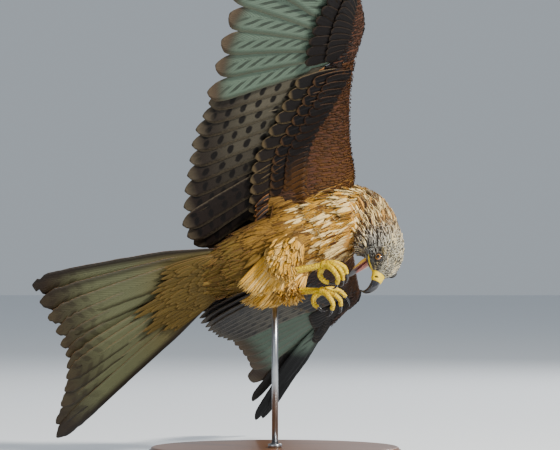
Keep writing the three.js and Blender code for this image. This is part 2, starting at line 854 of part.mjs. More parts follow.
// The stand.
const baseRadius = 200;
const baseHeight = 20;
const baseEdge = 3;
const rodRadius = 5;
const rodDepth = -34;
const base = new THREE.LatheGeometry([
  new THREE.Vector2(0, 0),
  new THREE.Vector2(baseRadius - 1, 0),
  new THREE.Vector2(baseRadius, 1),
  new THREE.Vector2(baseRadius, baseHeight - baseEdge),
  new THREE.Vector2(baseRadius - baseEdge, baseHeight),
  new THREE.Vector2(0, baseHeight),
], 40);
base.rotateX(Math.PI / 2);
const rodTop = 330;
const rodBottom = baseHeight + gap;

function rodForm(swell) {
  const rod = new THREE.CylinderGeometry(
    rodRadius + swell, rodRadius + swell, rodTop - rodBottom, 24);
  rod.rotateX(Math.PI / 2);
  rod.translate(0, rodDepth, (rodTop + rodBottom) / 2);
  return toSolid(rod);
}

addNode('torso', torso, 0x9a6a2c, 0.9);
addNode('neck', neck, 0xb59a70, 0.9);
addNode('head', head, 0xc9c6bd, 0.85);
addNode('bill_cere', largest(cere.subtract(joinAll([nostril(1), nostril(-1), mouthHollow]))),
  0xf0c800, 0.5);
addNode('bill_hook', largest(hook.subtract(cereClear)), 0x1c1c20, 0.35);
addNode('bill_lower', lowerBill, 0x55524e, 0.4);
addNode('tongue', largest(billPiece(tongueKeys, 0).subtract(lowerBillClear)), 0xa06058, 0.5);
for (const [name, side] of [['right', 1], ['left', -1]]) {
  addNode(`eye_${name}`, ball(eyePlace(side), eyeRadius, 14), 0xd79a4a, 0.15);
}
const legColour = 0xf2c400;
for (const side of ['right', 'left']) {
  const trousered = joinAll([thigh(side, 0), ...trousers(side)]);
  addNode(`thigh_${side}`, largest(trousered.subtract(joinAll([
    fleshClear, tarsus(side, gap), rodForm(gap),
  ]))), 0xd2a860, 0.9);
  addNode(`tarsus_${side}`, tarsus(side, 0), legColour, 0.5);
  addNode(`foot_${side}`, foot(side), legColour, 0.5);
  toeLines[side].forEach((line, i) => {
    addNode(`claw_${side}_${i + 1}`, claw(line), 0x17161a, 0.3);
  });
}
for (const side of ['right', 'left']) {
  addNode(`wing_${side}_arm`, arm(side), 0x4a3a2c, 0.9);
  addNode(`wing_${side}_hand`, hand(side), 0x8a8f80, 0.9);
}
addNode('tail', tail, 0xa09070, 0.9);
addNode('stand_base', toSolid(base), 0x5a4632, 0.6);
addNode('stand_rod', largest(rodForm(0).subtract(fleshClear)), 0xb8bcc0, 0.35, 1);

export default model;
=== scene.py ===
import math

import bmesh
import bpy
import numpy as np
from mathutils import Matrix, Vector
from mathutils.bvhtree import BVHTree
from mathutils.kdtree import KDTree


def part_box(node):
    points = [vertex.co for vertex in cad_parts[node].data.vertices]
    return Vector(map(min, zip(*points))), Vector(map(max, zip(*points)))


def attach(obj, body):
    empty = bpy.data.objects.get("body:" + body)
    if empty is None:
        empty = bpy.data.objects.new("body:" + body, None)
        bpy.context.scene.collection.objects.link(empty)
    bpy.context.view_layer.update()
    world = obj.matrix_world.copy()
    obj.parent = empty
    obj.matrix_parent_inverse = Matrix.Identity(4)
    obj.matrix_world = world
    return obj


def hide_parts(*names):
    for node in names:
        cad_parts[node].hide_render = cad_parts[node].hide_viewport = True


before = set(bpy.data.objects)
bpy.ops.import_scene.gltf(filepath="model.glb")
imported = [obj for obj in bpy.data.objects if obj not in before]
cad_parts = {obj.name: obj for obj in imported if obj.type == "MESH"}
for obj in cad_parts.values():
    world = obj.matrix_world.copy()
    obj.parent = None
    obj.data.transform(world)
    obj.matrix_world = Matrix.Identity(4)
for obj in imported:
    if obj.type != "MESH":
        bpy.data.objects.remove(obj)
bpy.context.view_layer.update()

MM = 0.001
DEGREE = math.pi / 180
SIDES = {"right": 1, "left": -1}

# The view: places in the pose are steps across and down the front view and
# millimetres of depth beyond the stand.
VIEW_STEP = 1.58
VIEW_DISTANCE = 6000
VIEW_MIDDLE = (280, 225)
VIEW_WIDTH = 560
STAND_ACROSS = 275
EYE_LEVEL = 370
CAMERA_ASIDE = (VIEW_MIDDLE[0] - STAND_ACROSS) * VIEW_STEP
SENSOR = 36


def seen(across, down, depth):
    spread = VIEW_STEP * (VIEW_DISTANCE + depth) / VIEW_DISTANCE
    return np.array([CAMERA_ASIDE + (across - VIEW_MIDDLE[0]) * spread, depth,
                     EYE_LEVEL + (VIEW_MIDDLE[1] - down) * spread])


def unit(v):
    v = np.asarray(v, float)
    return v / np.maximum(np.linalg.norm(v, axis=-1, keepdims=True), 1e-9)


def squared(v, axis):
    """The direction nearest to v that is square to an axis."""
    return unit(v - axis * (v * axis).sum(axis=-1, keepdims=True))


def mix(a, b, t):
    return np.asarray(a) * (1 - t) + np.asarray(b) * t


def smooth(low, high, x):
    t = np.clip((x - low) / (high - low), 0, 1)
    return t * t * (3 - 2 * t)


def circle(count):
    angles = np.arange(count) / count * 2 * math.pi
    return np.cos(angles), np.sin(angles)


# The body's own axes.
CLIMB = 23.5 * DEGREE
TURN_AWAY = 14 * DEGREE
BANK = 42 * DEGREE
FORWARD = np.array([math.cos(TURN_AWAY) * math.cos(CLIMB), math.sin(TURN_AWAY),
                    math.cos(TURN_AWAY) * math.sin(CLIMB)])
TOWARD_VIEWER = unit(np.array([0, -1, 0]) + FORWARD * FORWARD[1])
RIGHT = TOWARD_VIEWER * math.sin(BANK) + np.cross(TOWARD_VIEWER, FORWARD) * math.cos(BANK)
DORSAL = unit(np.cross(RIGHT, FORWARD))
HEAD_SIDE = unit([-0.42, -0.74, 0.51])
HEAD_FORWARD = unit([-0.25, -0.45, -0.86])
HEAD_UP = unit(np.cross(HEAD_SIDE, HEAD_FORWARD))
HEAD_CENTRE = seen(383.5, 261, -58)
TAIL_ROOT = seen(221, 272, -56)


def on_head(ahead, across, above):
    return HEAD_CENTRE + HEAD_FORWARD * ahead + HEAD_SIDE * across + HEAD_UP * above


GAPE_DROP = 50 * DEGREE
GAPE_CORNER = on_head(-2, 0, -18.5)


def on_lower_bill(ahead, above, drop=GAPE_DROP):
    return (GAPE_CORNER
            + HEAD_FORWARD * (ahead * math.cos(drop) + above * math.sin(drop))
            + HEAD_UP * (above * math.cos(drop) - ahead * math.sin(drop)))


class Line:
    """A smooth centripetal curve through places."""

    def __init__(self, places):
        self.places = np.array(places, float)

    def at(self, t):
        p = self.places
        last = len(p) - 1
        place = min(max(t, 0), 1) * last
        i = min(int(place), last - 1)
        w = place - i
        x1, x2 = p[i], p[i + 1]
        x0 = p[i - 1] if i > 0 else 2 * x1 - x2
        x3 = p[i + 2] if i + 2 <= last else 2 * x2 - x1
        d0, d1, d2 = (max(np.linalg.norm(b - a), 1e-6) ** 0.5
                      for a, b in ((x0, x1), (x1, x2), (x2, x3)))
        m1 = ((x1 - x0) / d0 - (x2 - x0) / (d0 + d1) + (x2 - x1) / d1) * d1
        m2 = ((x2 - x1) / d1 - (x3 - x1) / (d1 + d2) + (x3 - x2) / d2) * d1
        return (x1 + m1 * w + (-3 * x1 + 3 * x2 - 2 * m1 - m2) * w ** 2
                + (2 * x1 - 2 * x2 + m1 + m2) * w ** 3)

    def tangent(self, t):
        return unit(self.at(min(t + 1e-3, 1)) - self.at(max(t - 1e-3, 0)))


def seen_line(*places):
    return Line([seen(*place) for place in places])


def limb_keys(place, *keys):
    """A limb's keys: what place() needs, then half width, above and below."""
    return [(place(*key[:-3]), *key[-3:]) for key in keys]


def limb_grid(keys, side_start, side_end, stations, count, inset=0):
    """Rings along a limb through its keys."""
    line = Line([key[0] for key in keys])
    sizes = np.array([key[1:] for key in keys], float)
    cosines, sines = circle(count)
    grid = []
    for i in range(stations + 1):
        t = i / stations
        place = t * (len(keys) - 1)
        k = min(int(place), len(keys) - 2)
        half, above, below = np.maximum(mix(sizes[k], sizes[k + 1], place - k) - inset, 0.3)
        along = line.tangent(t)
        side = squared(mix(side_start, side_end, t), along)
        rise = sines * np.where(sines > 0, above, below)
        grid.append(line.at(t) + np.outer(cosines * half, side)
                    + np.outer(rise, np.cross(side, along)))
    return np.array(grid)


def blade_grid(wing, stations, count, inset):
    """Rings from shoulder to tip round a wing's blade."""
    cosines, sines = circle(count)
    chord = 0.5 - 0.5 * cosines
    thickness = wing["thickness"]
    last = len(thickness) - 1
    grid = []
    for i in range(stations + 1):
        t = i / stations
        k = min(int(t * last), last - 1)
        depth = max(mix(thickness[k], thickness[k + 1], t * last - k) - 2 * inset, 3)
        front, back = wing["leading"].at(t), wing["trailing"].at(t)
        pull = unit(back - front) * inset
        front, back = front + pull, back - pull
        rise = 0.5 * depth * sines * (1.2 - 0.6 * chord)
        grid.append(front + np.outer(chord, back - front) + np.outer(rise, wing["normal"][0]))
    return np.array(grid)


class Form:
    """A closed surface of rings that feathers are set on."""

    def __init__(self, grid):
        self.grid = grid
        self.rows, self.count = grid.shape[:2]
        along = np.gradient(grid, axis=0)
        around = np.roll(grid, -1, axis=1) - np.roll(grid, 1, axis=1)
        normal = unit(np.cross(along, around))
        outward = (normal * (grid - grid.mean(axis=1, keepdims=True))).sum() > 0
        self.normals = normal if outward else -normal
        self.along = unit(along)

    def sample(self, array, t, turn):
        row = np.clip(t, 0, 1) * (self.rows - 1)
        i = np.minimum(row.astype(int), self.rows - 2)
        column = (turn % 1) * self.count
        j = column.astype(int) % self.count
        k = (j + 1) % self.count
        v = (column - np.floor(column))[:, None]
        near = array[i, j] * (1 - v) + array[i, k] * v
        far = array[i + 1, j] * (1 - v) + array[i + 1, k] * v
        return mix(near, far, (row - i)[:, None])

    def spots(self, spacing, start, stop, chance):
        """Brick-like places at a spacing that depends on how far along they are."""
        ts, turns = [], []
        t, odd = start, 0
        total = np.linalg.norm(np.diff(self.grid.mean(axis=1), axis=0), axis=1).sum()
        while t <= stop:
            gap_along, gap_round = spacing(t)
            ring = self.grid[int(t * (self.rows - 1))]
            round_length = np.linalg.norm(ring - np.roll(ring, 1, axis=0), axis=1).sum()
            n = max(int(round_length / gap_round), 5)
            turns.append((np.arange(n) + 0.5 * odd + chance.uniform(-0.28, 0.28, n)) / n % 1)
            ts.append(t + chance.uniform(-0.3, 0.3, n) * gap_along / total)
            t += gap_along / total
            odd = 1 - odd
        return np.clip(np.concatenate(ts), 0, 1), np.concatenate(turns)


# Meshes.
def link(name, data):
    piece = bpy.data.objects.new(name, data)
    bpy.context.scene.collection.objects.link(piece)
    return piece


def shade_smooth(mesh):
    mesh.polygons.foreach_set("use_smooth", [True] * len(mesh.polygons))


def quad_mesh(name, points, quads):
    mesh = bpy.data.meshes.new(name)
    mesh.vertices.add(len(points))
    mesh.vertices.foreach_set("co", (points * MM).astype(np.float32).ravel())
    mesh.loops.add(quads.size)
    mesh.loops.foreach_set("vertex_index", quads.astype(np.int32).ravel())
    mesh.polygons.add(len(quads))
    mesh.polygons.foreach_set("loop_start", np.arange(0, quads.size, 4, dtype=np.int32))
    mesh.update(calc_edges=True)
    mesh.validate()
    shade_smooth(mesh)
    return mesh


def grid_quads(rows, count):
    i, j = np.meshgrid(np.arange(rows - 1), np.arange(count), indexing="ij")
    k = (j + 1) % count
    corners = [i * count + j, i * count + k, (i + 1) * count + k, (i + 1) * count + j]
    return np.stack(corners, axis=-1).reshape(-1, 4)


def loft(name, grid):
    """A closed piece over rings of points."""
    rows, count = grid.shape[:2]
    ends = [list(range(count)), list(range((rows - 1) * count, rows * count))]
    mesh = bpy.data.meshes.new(name)
    mesh.from_pydata((grid.reshape(-1, 3) * MM).tolist(), [],
                     grid_quads(rows, count).tolist() + ends)
    outward = bmesh.new()
    outward.from_mesh(mesh)
    bmesh.ops.recalc_face_normals(outward, faces=outward.faces)
    outward.to_mesh(mesh)
    outward.free()
    shade_smooth(mesh)
    return link(name, mesh)


def limb(name, keys, side, stations, count):
    return loft(name, limb_grid(keys, side, side, stations, count))


def join(name, pieces):
    together = bmesh.new()
    for piece in pieces:
        together.from_mesh(piece.data)
        bpy.data.objects.remove(piece)
    mesh = bpy.data.meshes.new(name)
    together.to_mesh(mesh)
    together.free()
    return link(name, mesh)


def modify(piece, *modifiers):
    """Apply modifiers, each given as its kind and its settings."""
    for kind, settings in modifiers:
        modifier = piece.modifiers.new(kind.lower(), kind)
        for key, value in settings.items():
            setattr(modifier, key, value)
    evaluated = piece.evaluated_get(bpy.context.evaluated_depsgraph_get())
    mesh = bpy.data.meshes.new_from_object(evaluated)
    piece.modifiers.clear()
    piece.data = mesh


def cut(piece, cutter):
    modify(piece, ("BOOLEAN", {"operation": "DIFFERENCE", "object": cutter}))
    bpy.data.objects.remove(cutter)


def crosswise(axis):
    """Two directions square to an axis and to each other."""
    side = unit(np.cross(axis, [0.31, 0.2, 0.93]))
    return side, np.cross(axis, side)


def ball_grid(centre, axis, radius, rows, count):
    """A ball as rings about an axis, first and last rings tiny."""
    axis = unit(axis)
    side, other = crosswise(axis)
    cosines, sines = circle(count)
    ring = np.outer(cosines, side) + np.outer(sines, other)
    polar = [math.pi * (0.004 + 0.992 * i / rows) for i in range(rows + 1)]
    return np.array([centre + axis * radius * math.cos(p) + ring * radius * math.sin(p)
                     for p in polar])


# Colours, as the eye reads them, turned into light values.
def rgb(red, green, blue):
    value = np.array([red, green, blue]) / 255
    return np.where(value <= 0.04045, value / 12.92, ((value + 0.055) / 1.055) ** 2.4)


def with_alpha(colour):
    colour = np.asarray(colour, float)
    return np.concatenate([colour, np.ones(colour.shape[:-1] + (1,))], axis=-1)


def store_colours(mesh, layer, colours):
    """Store a colour for each vertex."""
    attribute = mesh.color_attributes.new(layer, "FLOAT_COLOR", "POINT")
    attribute.data.foreach_set("color", colours.astype(np.float32).ravel())


def finish_piece(piece, material, slot_name, *nodes):
    piece.data.materials.clear()
    piece.data.materials.append(material)
    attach(piece, "root")
    if nodes:
        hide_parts(*nodes)


CREAM = rgb(236, 212, 154)
RUFOUS_BRIGHT = rgb(196, 104, 44)
BROWN_DARK = rgb(52, 36, 27)
BLACKISH = rgb(24, 21, 22)
MAPS = ("tint", "mark", "rim", "habit")


def sheet(tint, mark, rim, streak, bars, fringe, bar_count):
    """A feather's four maps: three colours, and how it wears them as the habit."""
    habit = np.concatenate(np.broadcast_arrays(np.zeros(1), streak, bars, fringe, bar_count)[1:],
                           axis=-1)
    colours = [with_alpha(colour) for colour in (tint, mark, rim)]
    return np.stack(np.broadcast_arrays(*colours, habit), axis=-2)


class Plumage:
    """Feathers gathered for one piece: points, faces, two UV maps and the colour maps."""

    def __init__(self):
        self.points, self.quads, self.vane, self.bake, self.looks = [], [], [], [], []
        self.total = 0

    def add(self, points, vane, bake, look):
        """Points as feathers x stations x ring; the rest in the same layout."""
        number, stations, ring = points.shape[:3]
        each = stations * ring
        cap = np.array([[i, i + 1, ring - 2 - i, ring - 1 - i] for i in range(ring // 2 - 1)])
        local = np.concatenate([grid_quads(stations, ring)[:, ::-1], cap,
                                cap[:, ::-1] + each - ring])
        offsets = self.total + np.arange(number)[:, None, None] * each
        self.quads.append((local[None] + offsets).reshape(-1, 4))
        self.points.append(points.reshape(-1, 3))
        self.vane.append(vane.reshape(-1, 2))
        self.bake.append(bake.reshape(-1, 2))
        self.looks.append(np.broadcast_to(look, points.shape[:3] + (4, 4)).reshape(-1, 4, 4))
        self.total += number * each

    def build(self, name, material, node, slot_name):
        mesh = quad_mesh(name, np.concatenate(self.points), np.concatenate(self.quads))
        corner = np.empty(len(mesh.loops), np.int32)
        mesh.loops.foreach_get("vertex_index", corner)
        for layer, values in (("OFBake", self.bake), ("vane", self.vane)):
            uv = mesh.uv_layers.new(name=layer)
            uv.uv.foreach_set("vector", np.concatenate(values)[corner].astype(np.float32).ravel())
        looks = np.concatenate(self.looks)
        for k, layer in enumerate(MAPS):
            store_colours(mesh, layer, looks[:, k])
        finish_piece(link(name, mesh), material, slot_name, node)


# Small contour feathers, many at a time: how wide they are at each share of their length.
CONTOUR = (np.array([0, 0.2, 0.48, 0.76, 0.93, 1]), np.array([0.35, 0.8, 1, 0.86, 0.5, 0.14]))
LANCE = (np.array([0, 0.22, 0.48, 0.74, 0.91, 1]), np.array([0.4, 0.9, 1, 0.7, 0.36, 0.08]))
RING_ASIDE = np.array([1, 0.0, -1, 0.0])
RING_UP = np.array([-0.22, 0.1, -0.22, -0.16])
PATCH = 0.003


def contour(plumage, shape, curl, feathers):
    places, widths = shape
    root, along, normal = (feathers[key][:, None, None] for key in ("root", "along", "normal"))
    side = unit(np.cross(normal, along))
    size, lifts = (feathers[key][:, None, None, None] for key in ("length", "lifts"))
    t = places[:, None, None]
    half = (0.5 * feathers["width"][:, None] * widths)[..., None, None]
    points = (root + along * size * t + normal * size * (lifts * t + curl * t * t)
              + side * (half * RING_ASIDE[:, None]) + normal * (half * RING_UP[:, None]))
    vane = np.stack(np.broadcast_arrays((RING_ASIDE + 1) / 2, places[:, None]), axis=-1)
    bake = feathers["spread"][:, None, None] + (vane - 0.5) * PATCH
    plumage.add(points, np.broadcast_to(vane, bake.shape), bake, feathers["look"][:, None, None])


# Long feathers: quills and coverts, one at a time, with a shaft and a soft camber.
FLIGHT = ([0, 0.3, 0.84, 0.95, 1], [0.3, 0.9, 1, 0.86, 0.62])
FINGER = ([0, 0.25, 0.5, 0.66, 0.92, 1], [0.28, 0.8, 1, 0.72, 0.56, 0.4])
COVERT = ([0, 0.5, 0.85, 1], [0.5, 1, 0.9, 0.62])
SOFT = ([0, 0.4, 0.75, 1], [0.5, 1, 0.7, 0.25])
ACROSS = np.array([1, 0.66, 0.33, 0.05, -0.05, -0.33, -0.66, -1])
END_REACH = 0.1


def long_feather(plumage, chance, bake_box, root, tip, normal, hand, front, back, lifts, bow,
                 shape, stations, paint, worn=0.0):
    along = unit(tip - root)
    side = unit(np.cross(normal, along)) * hand
    up = np.cross(side, along) * -hand
    t = 1 - np.linspace(1, 0, stations) ** 1.35
    lift = mix(*lifts, t)[:, None]
    edge = (side * np.cos(lift) + up * np.sin(lift))[:, None]
    face = (up * np.cos(lift) - side * np.sin(lift))[:, None]
    wear = 0.012 + worn * smooth(0.78, 1, t)[:, None]
    ragged = 1 + wear * chance.standard_normal((stations, 1))
    end = np.clip((1 - t) / END_REACH, 0, 1)
    width = np.interp(t, *shape) * np.sqrt(np.clip(1 - (1 - end) ** 2, 0.012, 1))
    middle = (root + np.outer(t * np.linalg.norm(tip - root), along)
              + np.outer(bow * 4 * t * (1 - t), up))
    offset = np.where(ACROSS > 0, ACROSS * front, ACROSS * back) * width[:, None] * ragged
    camber = -0.045 * np.abs(offset) ** 1.3 / max(back, 1) ** 0.3
    on_shaft = np.abs(ACROSS) < 0.1
    thickness = np.where(on_shaft, 0.5, 0.16) * (1 - 0.5 * t[:, None])
    shaft = np.where(on_shaft, 0.7, 0) * (1 - 0.75 * t[:, None])
    middle = middle[:, None] + edge * offset[..., None]
    upper = middle + face * (camber + thickness)[..., None]
    lower = middle + face * (camber - thickness - shaft)[..., None]
    points = np.concatenate([upper, lower[:, ::-1]], axis=1)
    across = np.concatenate([ACROSS, ACROSS[::-1]])
    is_upper = np.repeat([1.0, 0.0], len(ACROSS))
    if hand < 0:
        points, across, is_upper = points[:, ::-1], across[::-1], is_upper[::-1]
    v, across, is_upper = np.broadcast_arrays(t[:, None], across, is_upper)
    u = (across + 1) / 2
    x0, y0, x1, y1 = bake_box
    half = (x1 - x0) / 2
    bake = np.stack([x0 + (u + (1 - is_upper)) * half * 0.98, y0 + v * (y1 - y0) * 0.98], axis=-1)
    look = paint(v[..., None], across[..., None], is_upper[..., None])
    plumage.add(points[None], np.stack([u, v], axis=-1)[None], bake[None], look[None])


class Look:
    """A material, with short ways to add nodes to it."""

    def __init__(self, name, settings):
        self.material = bpy.data.materials.new(name)
        self.material.use_nodes = True
        self.tree = self.material.node_tree
        self.shader = self.tree.nodes["Principled BSDF"]
        self.set(self.shader, settings)
        self.place = self.add("NewGeometry", {}).outputs["Position"]

    def set(self, node, inputs):
        """Give inputs their values, or a link where the value is another node's output."""
        for key, value in inputs.items():
            if isinstance(value, bpy.types.NodeSocket):
                self.tree.links.new(value, node.inputs[key])
            else:
                node.inputs[key].default_value = value
        return node

    def add(self, kind, inputs, **options):
        node = self.tree.nodes.new("ShaderNode" + kind)
        for option, value in options.items():
            setattr(node, option, value)
        return self.set(node, inputs)

    def calc(self, operation, *values, clamp=False):
        return self.add("Math", dict(enumerate(values)), operation=operation,
                        use_clamp=clamp).outputs[0]

    def blend(self, factor, a, b):
        return self.add("Mix", {0: factor, 6: a, 7: b}, data_type="RGBA").outputs[2]

    def noise(self, scale, detail):
        return self.add("TexNoise", {"Scale": scale, "Detail": detail,
                                     "Vector": self.place}).outputs[0]

    def attribute(self, name):
        return self.add("Attribute", {}, attribute_name=name).outputs

    def colour(self, colour, value):
        """The surface's colour, lighter and darker by a value."""
        shade = self.add("HueSaturation", {"Color": colour, "Value": value})
        self.set(self.shader, {"Base Color": shade.outputs[0]})

    def bump(self, height, strength, distance, invert=False):
        bump = self.add("Bump", {"Strength": strength, "Distance": distance, "Height": height},
                        invert=invert)
        self.set(self.shader, {"Normal": bump.outputs[0]})


def plumage_material(name, roughness=0.62, bar_slant=0.35, bar_reach=(0.06, 0.75), bar_round=0.0,
                     shine=0.16):
    """A vane's own colour, with a shaft streak, bars, a pale rim and barbs."""
    look = Look(name, {"Roughness": roughness, "Specular IOR Level": shine})
    calc = look.calc
    tint, mark, rim_tint, habit = (look.attribute(layer) for layer in MAPS)
    streak_share, bar_share, rim_share = look.add("SeparateColor", {0: habit["Color"]}).outputs
    vane = look.add("UVMap", {}, uv_map="vane")
    u, v, _ = look.add("SeparateXYZ", {0: vane.outputs[0]}).outputs
    off_shaft = calc("ABSOLUTE", calc("MULTIPLY_ADD", u, 2.0, -1.0))
    noise = look.noise(420, 2)
    wobble = calc("MULTIPLY_ADD", noise, 0.35, -0.17)
    wavering = calc("ADD", off_shaft, wobble)

    streak = calc("MULTIPLY", calc("SUBTRACT", streak_share, wavering), 6.0, clamp=True)
    slanted = calc("MULTIPLY_ADD", off_shaft, -bar_slant / 5, v)
    turns = calc("MULTIPLY", calc("MULTIPLY", slanted, habit["Alpha"]), 2 * math.pi)
    wave = calc("SINE", calc("MULTIPLY_ADD", wobble, 1.6, turns))
    uneven = calc("MULTIPLY_ADD", look.noise(110, 1), 3.0, -1.7)
    off_row = calc("SUBTRACT", off_shaft, sum(bar_reach) / 2)
    rounded = calc("MULTIPLY_ADD", calc("MULTIPLY", off_row, off_row), -bar_round, uneven)
    bar_shape = calc("ADD", calc("MULTIPLY", wave, 2.4), rounded, clamp=True)
    inner_end = calc("MULTIPLY_ADD", off_shaft, 9.0, -9.0 * bar_reach[0], clamp=True)
    outer_end = calc("MULTIPLY_ADD", off_shaft, -5.0, 5.0 * bar_reach[1] + 1, clamp=True)
    spot = calc("MULTIPLY", bar_shape, calc("MULTIPLY", inner_end, outer_end))
    side_rim = calc("MULTIPLY_ADD", wavering, 5.0, -3.9, clamp=True)
    end_rim = calc("MULTIPLY_ADD", v, 14.0, -12.7, clamp=True)
    rim = calc("MULTIPLY", calc("MAXIMUM", side_rim, end_rim), rim_share)

    colour = look.blend(streak, tint["Color"], mark["Color"])
    colour = look.blend(calc("MULTIPLY", spot, bar_share), colour, mark["Color"])
    colour = look.blend(rim, colour, rim_tint["Color"])
    barb_rows = calc("MULTIPLY_ADD", off_shaft, -0.16, v)
    barbs = calc("SINE", calc("MULTIPLY", barb_rows, 210.0))
    grain = calc("MULTIPLY_ADD", noise, 0.36, 0.82)
    look.colour(colour, calc("MULTIPLY_ADD", barbs, 0.035, grain))
    look.bump(barbs, 0.25, 0.0004)
    return look.material


def rough_material(name, colours, scale, roughness, bump_distance, scaly=False, coat=0.0,
                   metallic=0.0, stretch=None):
    """A surface mottled between two colours, with a fine bump."""
    look = Look(name, {"Roughness": roughness, "Metallic": metallic, "Coat Weight": coat,
                       "Coat Roughness": 0.08})
    place = look.place
    if stretch:
        place = look.add("Mapping", {"Scale": stretch, "Vector": place}).outputs[0]
    if scaly:
        texture = look.add("TexVoronoi", {"Scale": scale, "Vector": place}, feature="F1")
    else:
        texture = look.add("TexNoise", {"Scale": scale, "Detail": 5, "Vector": place})
    ramp = look.add("ValToRGB", {0: texture.outputs[0]})
    for element, colour, position in zip(ramp.color_ramp.elements, colours, (0.3, 0.7)):
        element.color = (*colour, 1)
        element.position = position
    look.set(look.shader, {"Base Color": ramp.outputs[0]})
    look.bump(texture.outputs[0], 0.5, bump_distance, scaly)
    return look.material


def tinted_material(name, roughness, coat=0.0):
    """Colour from the mesh's own tint, with a little mottling."""
    look = Look(name, {"Roughness": roughness, "Coat Weight": coat, "Coat Roughness": 0.03})
    mottling = look.calc("MULTIPLY_ADD", look.noise(900, 4), 0.5, 0.75)
    look.colour(look.attribute("tint")["Color"], mottling)
    return look.material


# The body's forms, from the same named sizes as the solids.
TORSO_KEYS = [(TAIL_ROOT, 44, 20, 24), *limb_keys(
    seen, (238, 263.5, -48, 54, 31, 38), (262, 253, -38, 60, 41, 48),
    (290, 241, -26, 63, 48, 54), (320, 228.5, -13, 65, 52, 58), (345, 218, -2, 62, 51, 55),
    (362, 210.5, 5, 50, 42, 44), (373, 205.5, 10, 26, 24, 24))]
NECK_KEYS = limb_keys(
    seen, (335, 222, -5, 42, 42, 28), (356, 216, -3, 50, 43, 36), (372, 222, -18, 46, 37, 42),
    (382.5, 237.5, -40, 36, 31, 44), (385.5, 251, -52, 31, 29, 41),
    (383.5, 261, -58, 29, 28, 32), (381.5, 270, -65, 22, 20, 20), (379.5, 276, -70, 13, 12, 12))
THIGH_KEYS = {
    "right": limb_keys(
        seen, (292, 240, -40, 30, 26, 26), (287, 250, -76, 31, 24, 28),
        (283, 261, -96, 26, 18, 24), (288, 269, -106, 16, 11, 14), (296, 270.5, -110, 8, 7, 7.5)),
    "left": limb_keys(
        seen, (298, 256, -8, 28, 22, 24), (293, 275, -22, 27, 21, 24),
        (290, 287, -38, 19, 15, 18), (296, 291, -52, 10, 8.5, 9.5), (301, 291, -58, 6.5, 6, 6)),
}
# The trouser feathers hang from the first line to the second.
TROUSERS = {
    "right": (
        seen_line((275, 250, -84), (279, 262, -96), (288, 270, -104)),
        seen_line((235, 286, -92), (243, 293, -98), (259, 297, -104), (281, 291, -112))),
    "left": (
        seen_line((283, 278, -14), (286, 284, -32), (291, 290, -44)),
        seen_line((240, 303, -22), (252, 309, -34), (270, 309, -50), (288, 303, -62))),
}
TAIL_LUMP_KEYS = [(TAIL_ROOT + FORWARD * ahead, *sizes) for ahead, *sizes in (
    (30, 40, 22, 18), (0, 43, 19, 21), (-22, 44, 14, 15), (-42, 38, 7, 8))]

NORMALS = {
    ("right", "arm"): unit([-0.31, 0.85, 0.39]), ("left", "arm"): unit([-0.42, 0.38, 0.82]),
    ("right", "hand"): unit([-0.4, 0.62, 0.68]), ("left", "hand"): unit([0.05, 0.52, 0.85]),
}
TWIST = {"right": 0.4, "left": 0.5}
WINGS = {}


def add_wing(side, kind, sections, roots, tips, width=1):
    """A wing's arm or hand: places on the leading and the trailing edge with a thickness,
    and the lines that its flight feathers grow from and to."""
    normal = NORMALS[side, kind]
    WINGS[side, kind] = {
        "hand": SIDES[side], "width": width,
        "normal": (normal, unit(mix(normal, NORMALS[side, "hand"], TWIST[side]))),
        "leading": seen_line(*(row[:3] for row in sections)),
        "trailing": seen_line(*(row[3:6] for row in sections)),
        "thickness": [row[6] for row in sections],
        "roots": seen_line(*roots), "tips": seen_line(*tips),
    }


add_wing("right", "arm", (
    (347, 202, -18, 272, 236, -38, 34), (356, 178, -34, 270, 202, -60, 30),
    (352, 140, -62, 276, 152, -88, 24), (352, 95, -96, 302, 106, -114, 19),
    (357, 56, -121, 328, 66, -132, 16),
), (
    (288, 208, -44), (289, 178, -68), (293, 148, -86), (314, 108, -110), (335, 69, -127),
), (
    (236, 232, -6), (203, 246, -34), (185, 234, -82), (184, 199, -108), (188, 166, -134),
    (196, 132, -158), (209, 103, -182),
))
add_wing("left", "arm", (
    (348, 230, 22, 298, 256, 22, 34), (352, 241, 60, 298, 268, 62, 30),
    (355, 257, 120, 300, 284, 122, 24), (358, 275, 190, 316, 293, 196, 19),
    (361, 290, 252, 336, 301, 268, 16),
), (
    (312, 252, 44), (309, 264, 84), (310, 278, 124), (326, 288, 194), (343, 296, 256),
), (
    (236, 282, 66), (206, 306, 60), (199, 320, 66), (207, 329, 104), (214, 334, 154),
    (222, 338, 218), (232, 342, 292),
))
add_wing("right", "hand", (
    (357.4, 54.9, -121.9, 328.5, 64.8, -132.9, 16), (365, 27, -143, 334, 38, -158, 14),
    (363, 2, -172, 338, 12, -188, 11), (359, -20, -200, 346, -12, -210, 7),
), (
    (339, 52, -138), (346, 22, -167), (353, -6, -196),
), (
    (208, 92, -214), (215, 65, -250), (222, 40, -283), (229, 13, -316), (236, -15, -354),
    (246, -48, -404), (263, -88, -452), (286, -112, -484), (308, -117, -488), (329, -99, -455),
))
add_wing("left", "hand", (
    (361.2, 290.9, 253.4, 336, 301.8, 269.6, 16), (358, 300, 282, 334, 310, 298, 14),
    (347, 311, 318, 327, 318, 330, 11), (334, 325, 352, 323, 326, 358, 7),
), (
    (342, 301, 276), (336, 310, 312), (329, 319, 348),
), (
    (236, 345, 340), (240, 350, 376), (245, 356, 412), (250, 363, 452), (254, 370, 500),
    (253, 383, 556), (253, 401, 606), (256, 420, 634), (263, 418, 634), (271, 409, 602),
), 0.85)

# Eyes, bill and mouth.
EYE_RADIUS = 7


def eye_place(side, outward=0.0):
    return on_head(8, side * (23 + outward), 6)


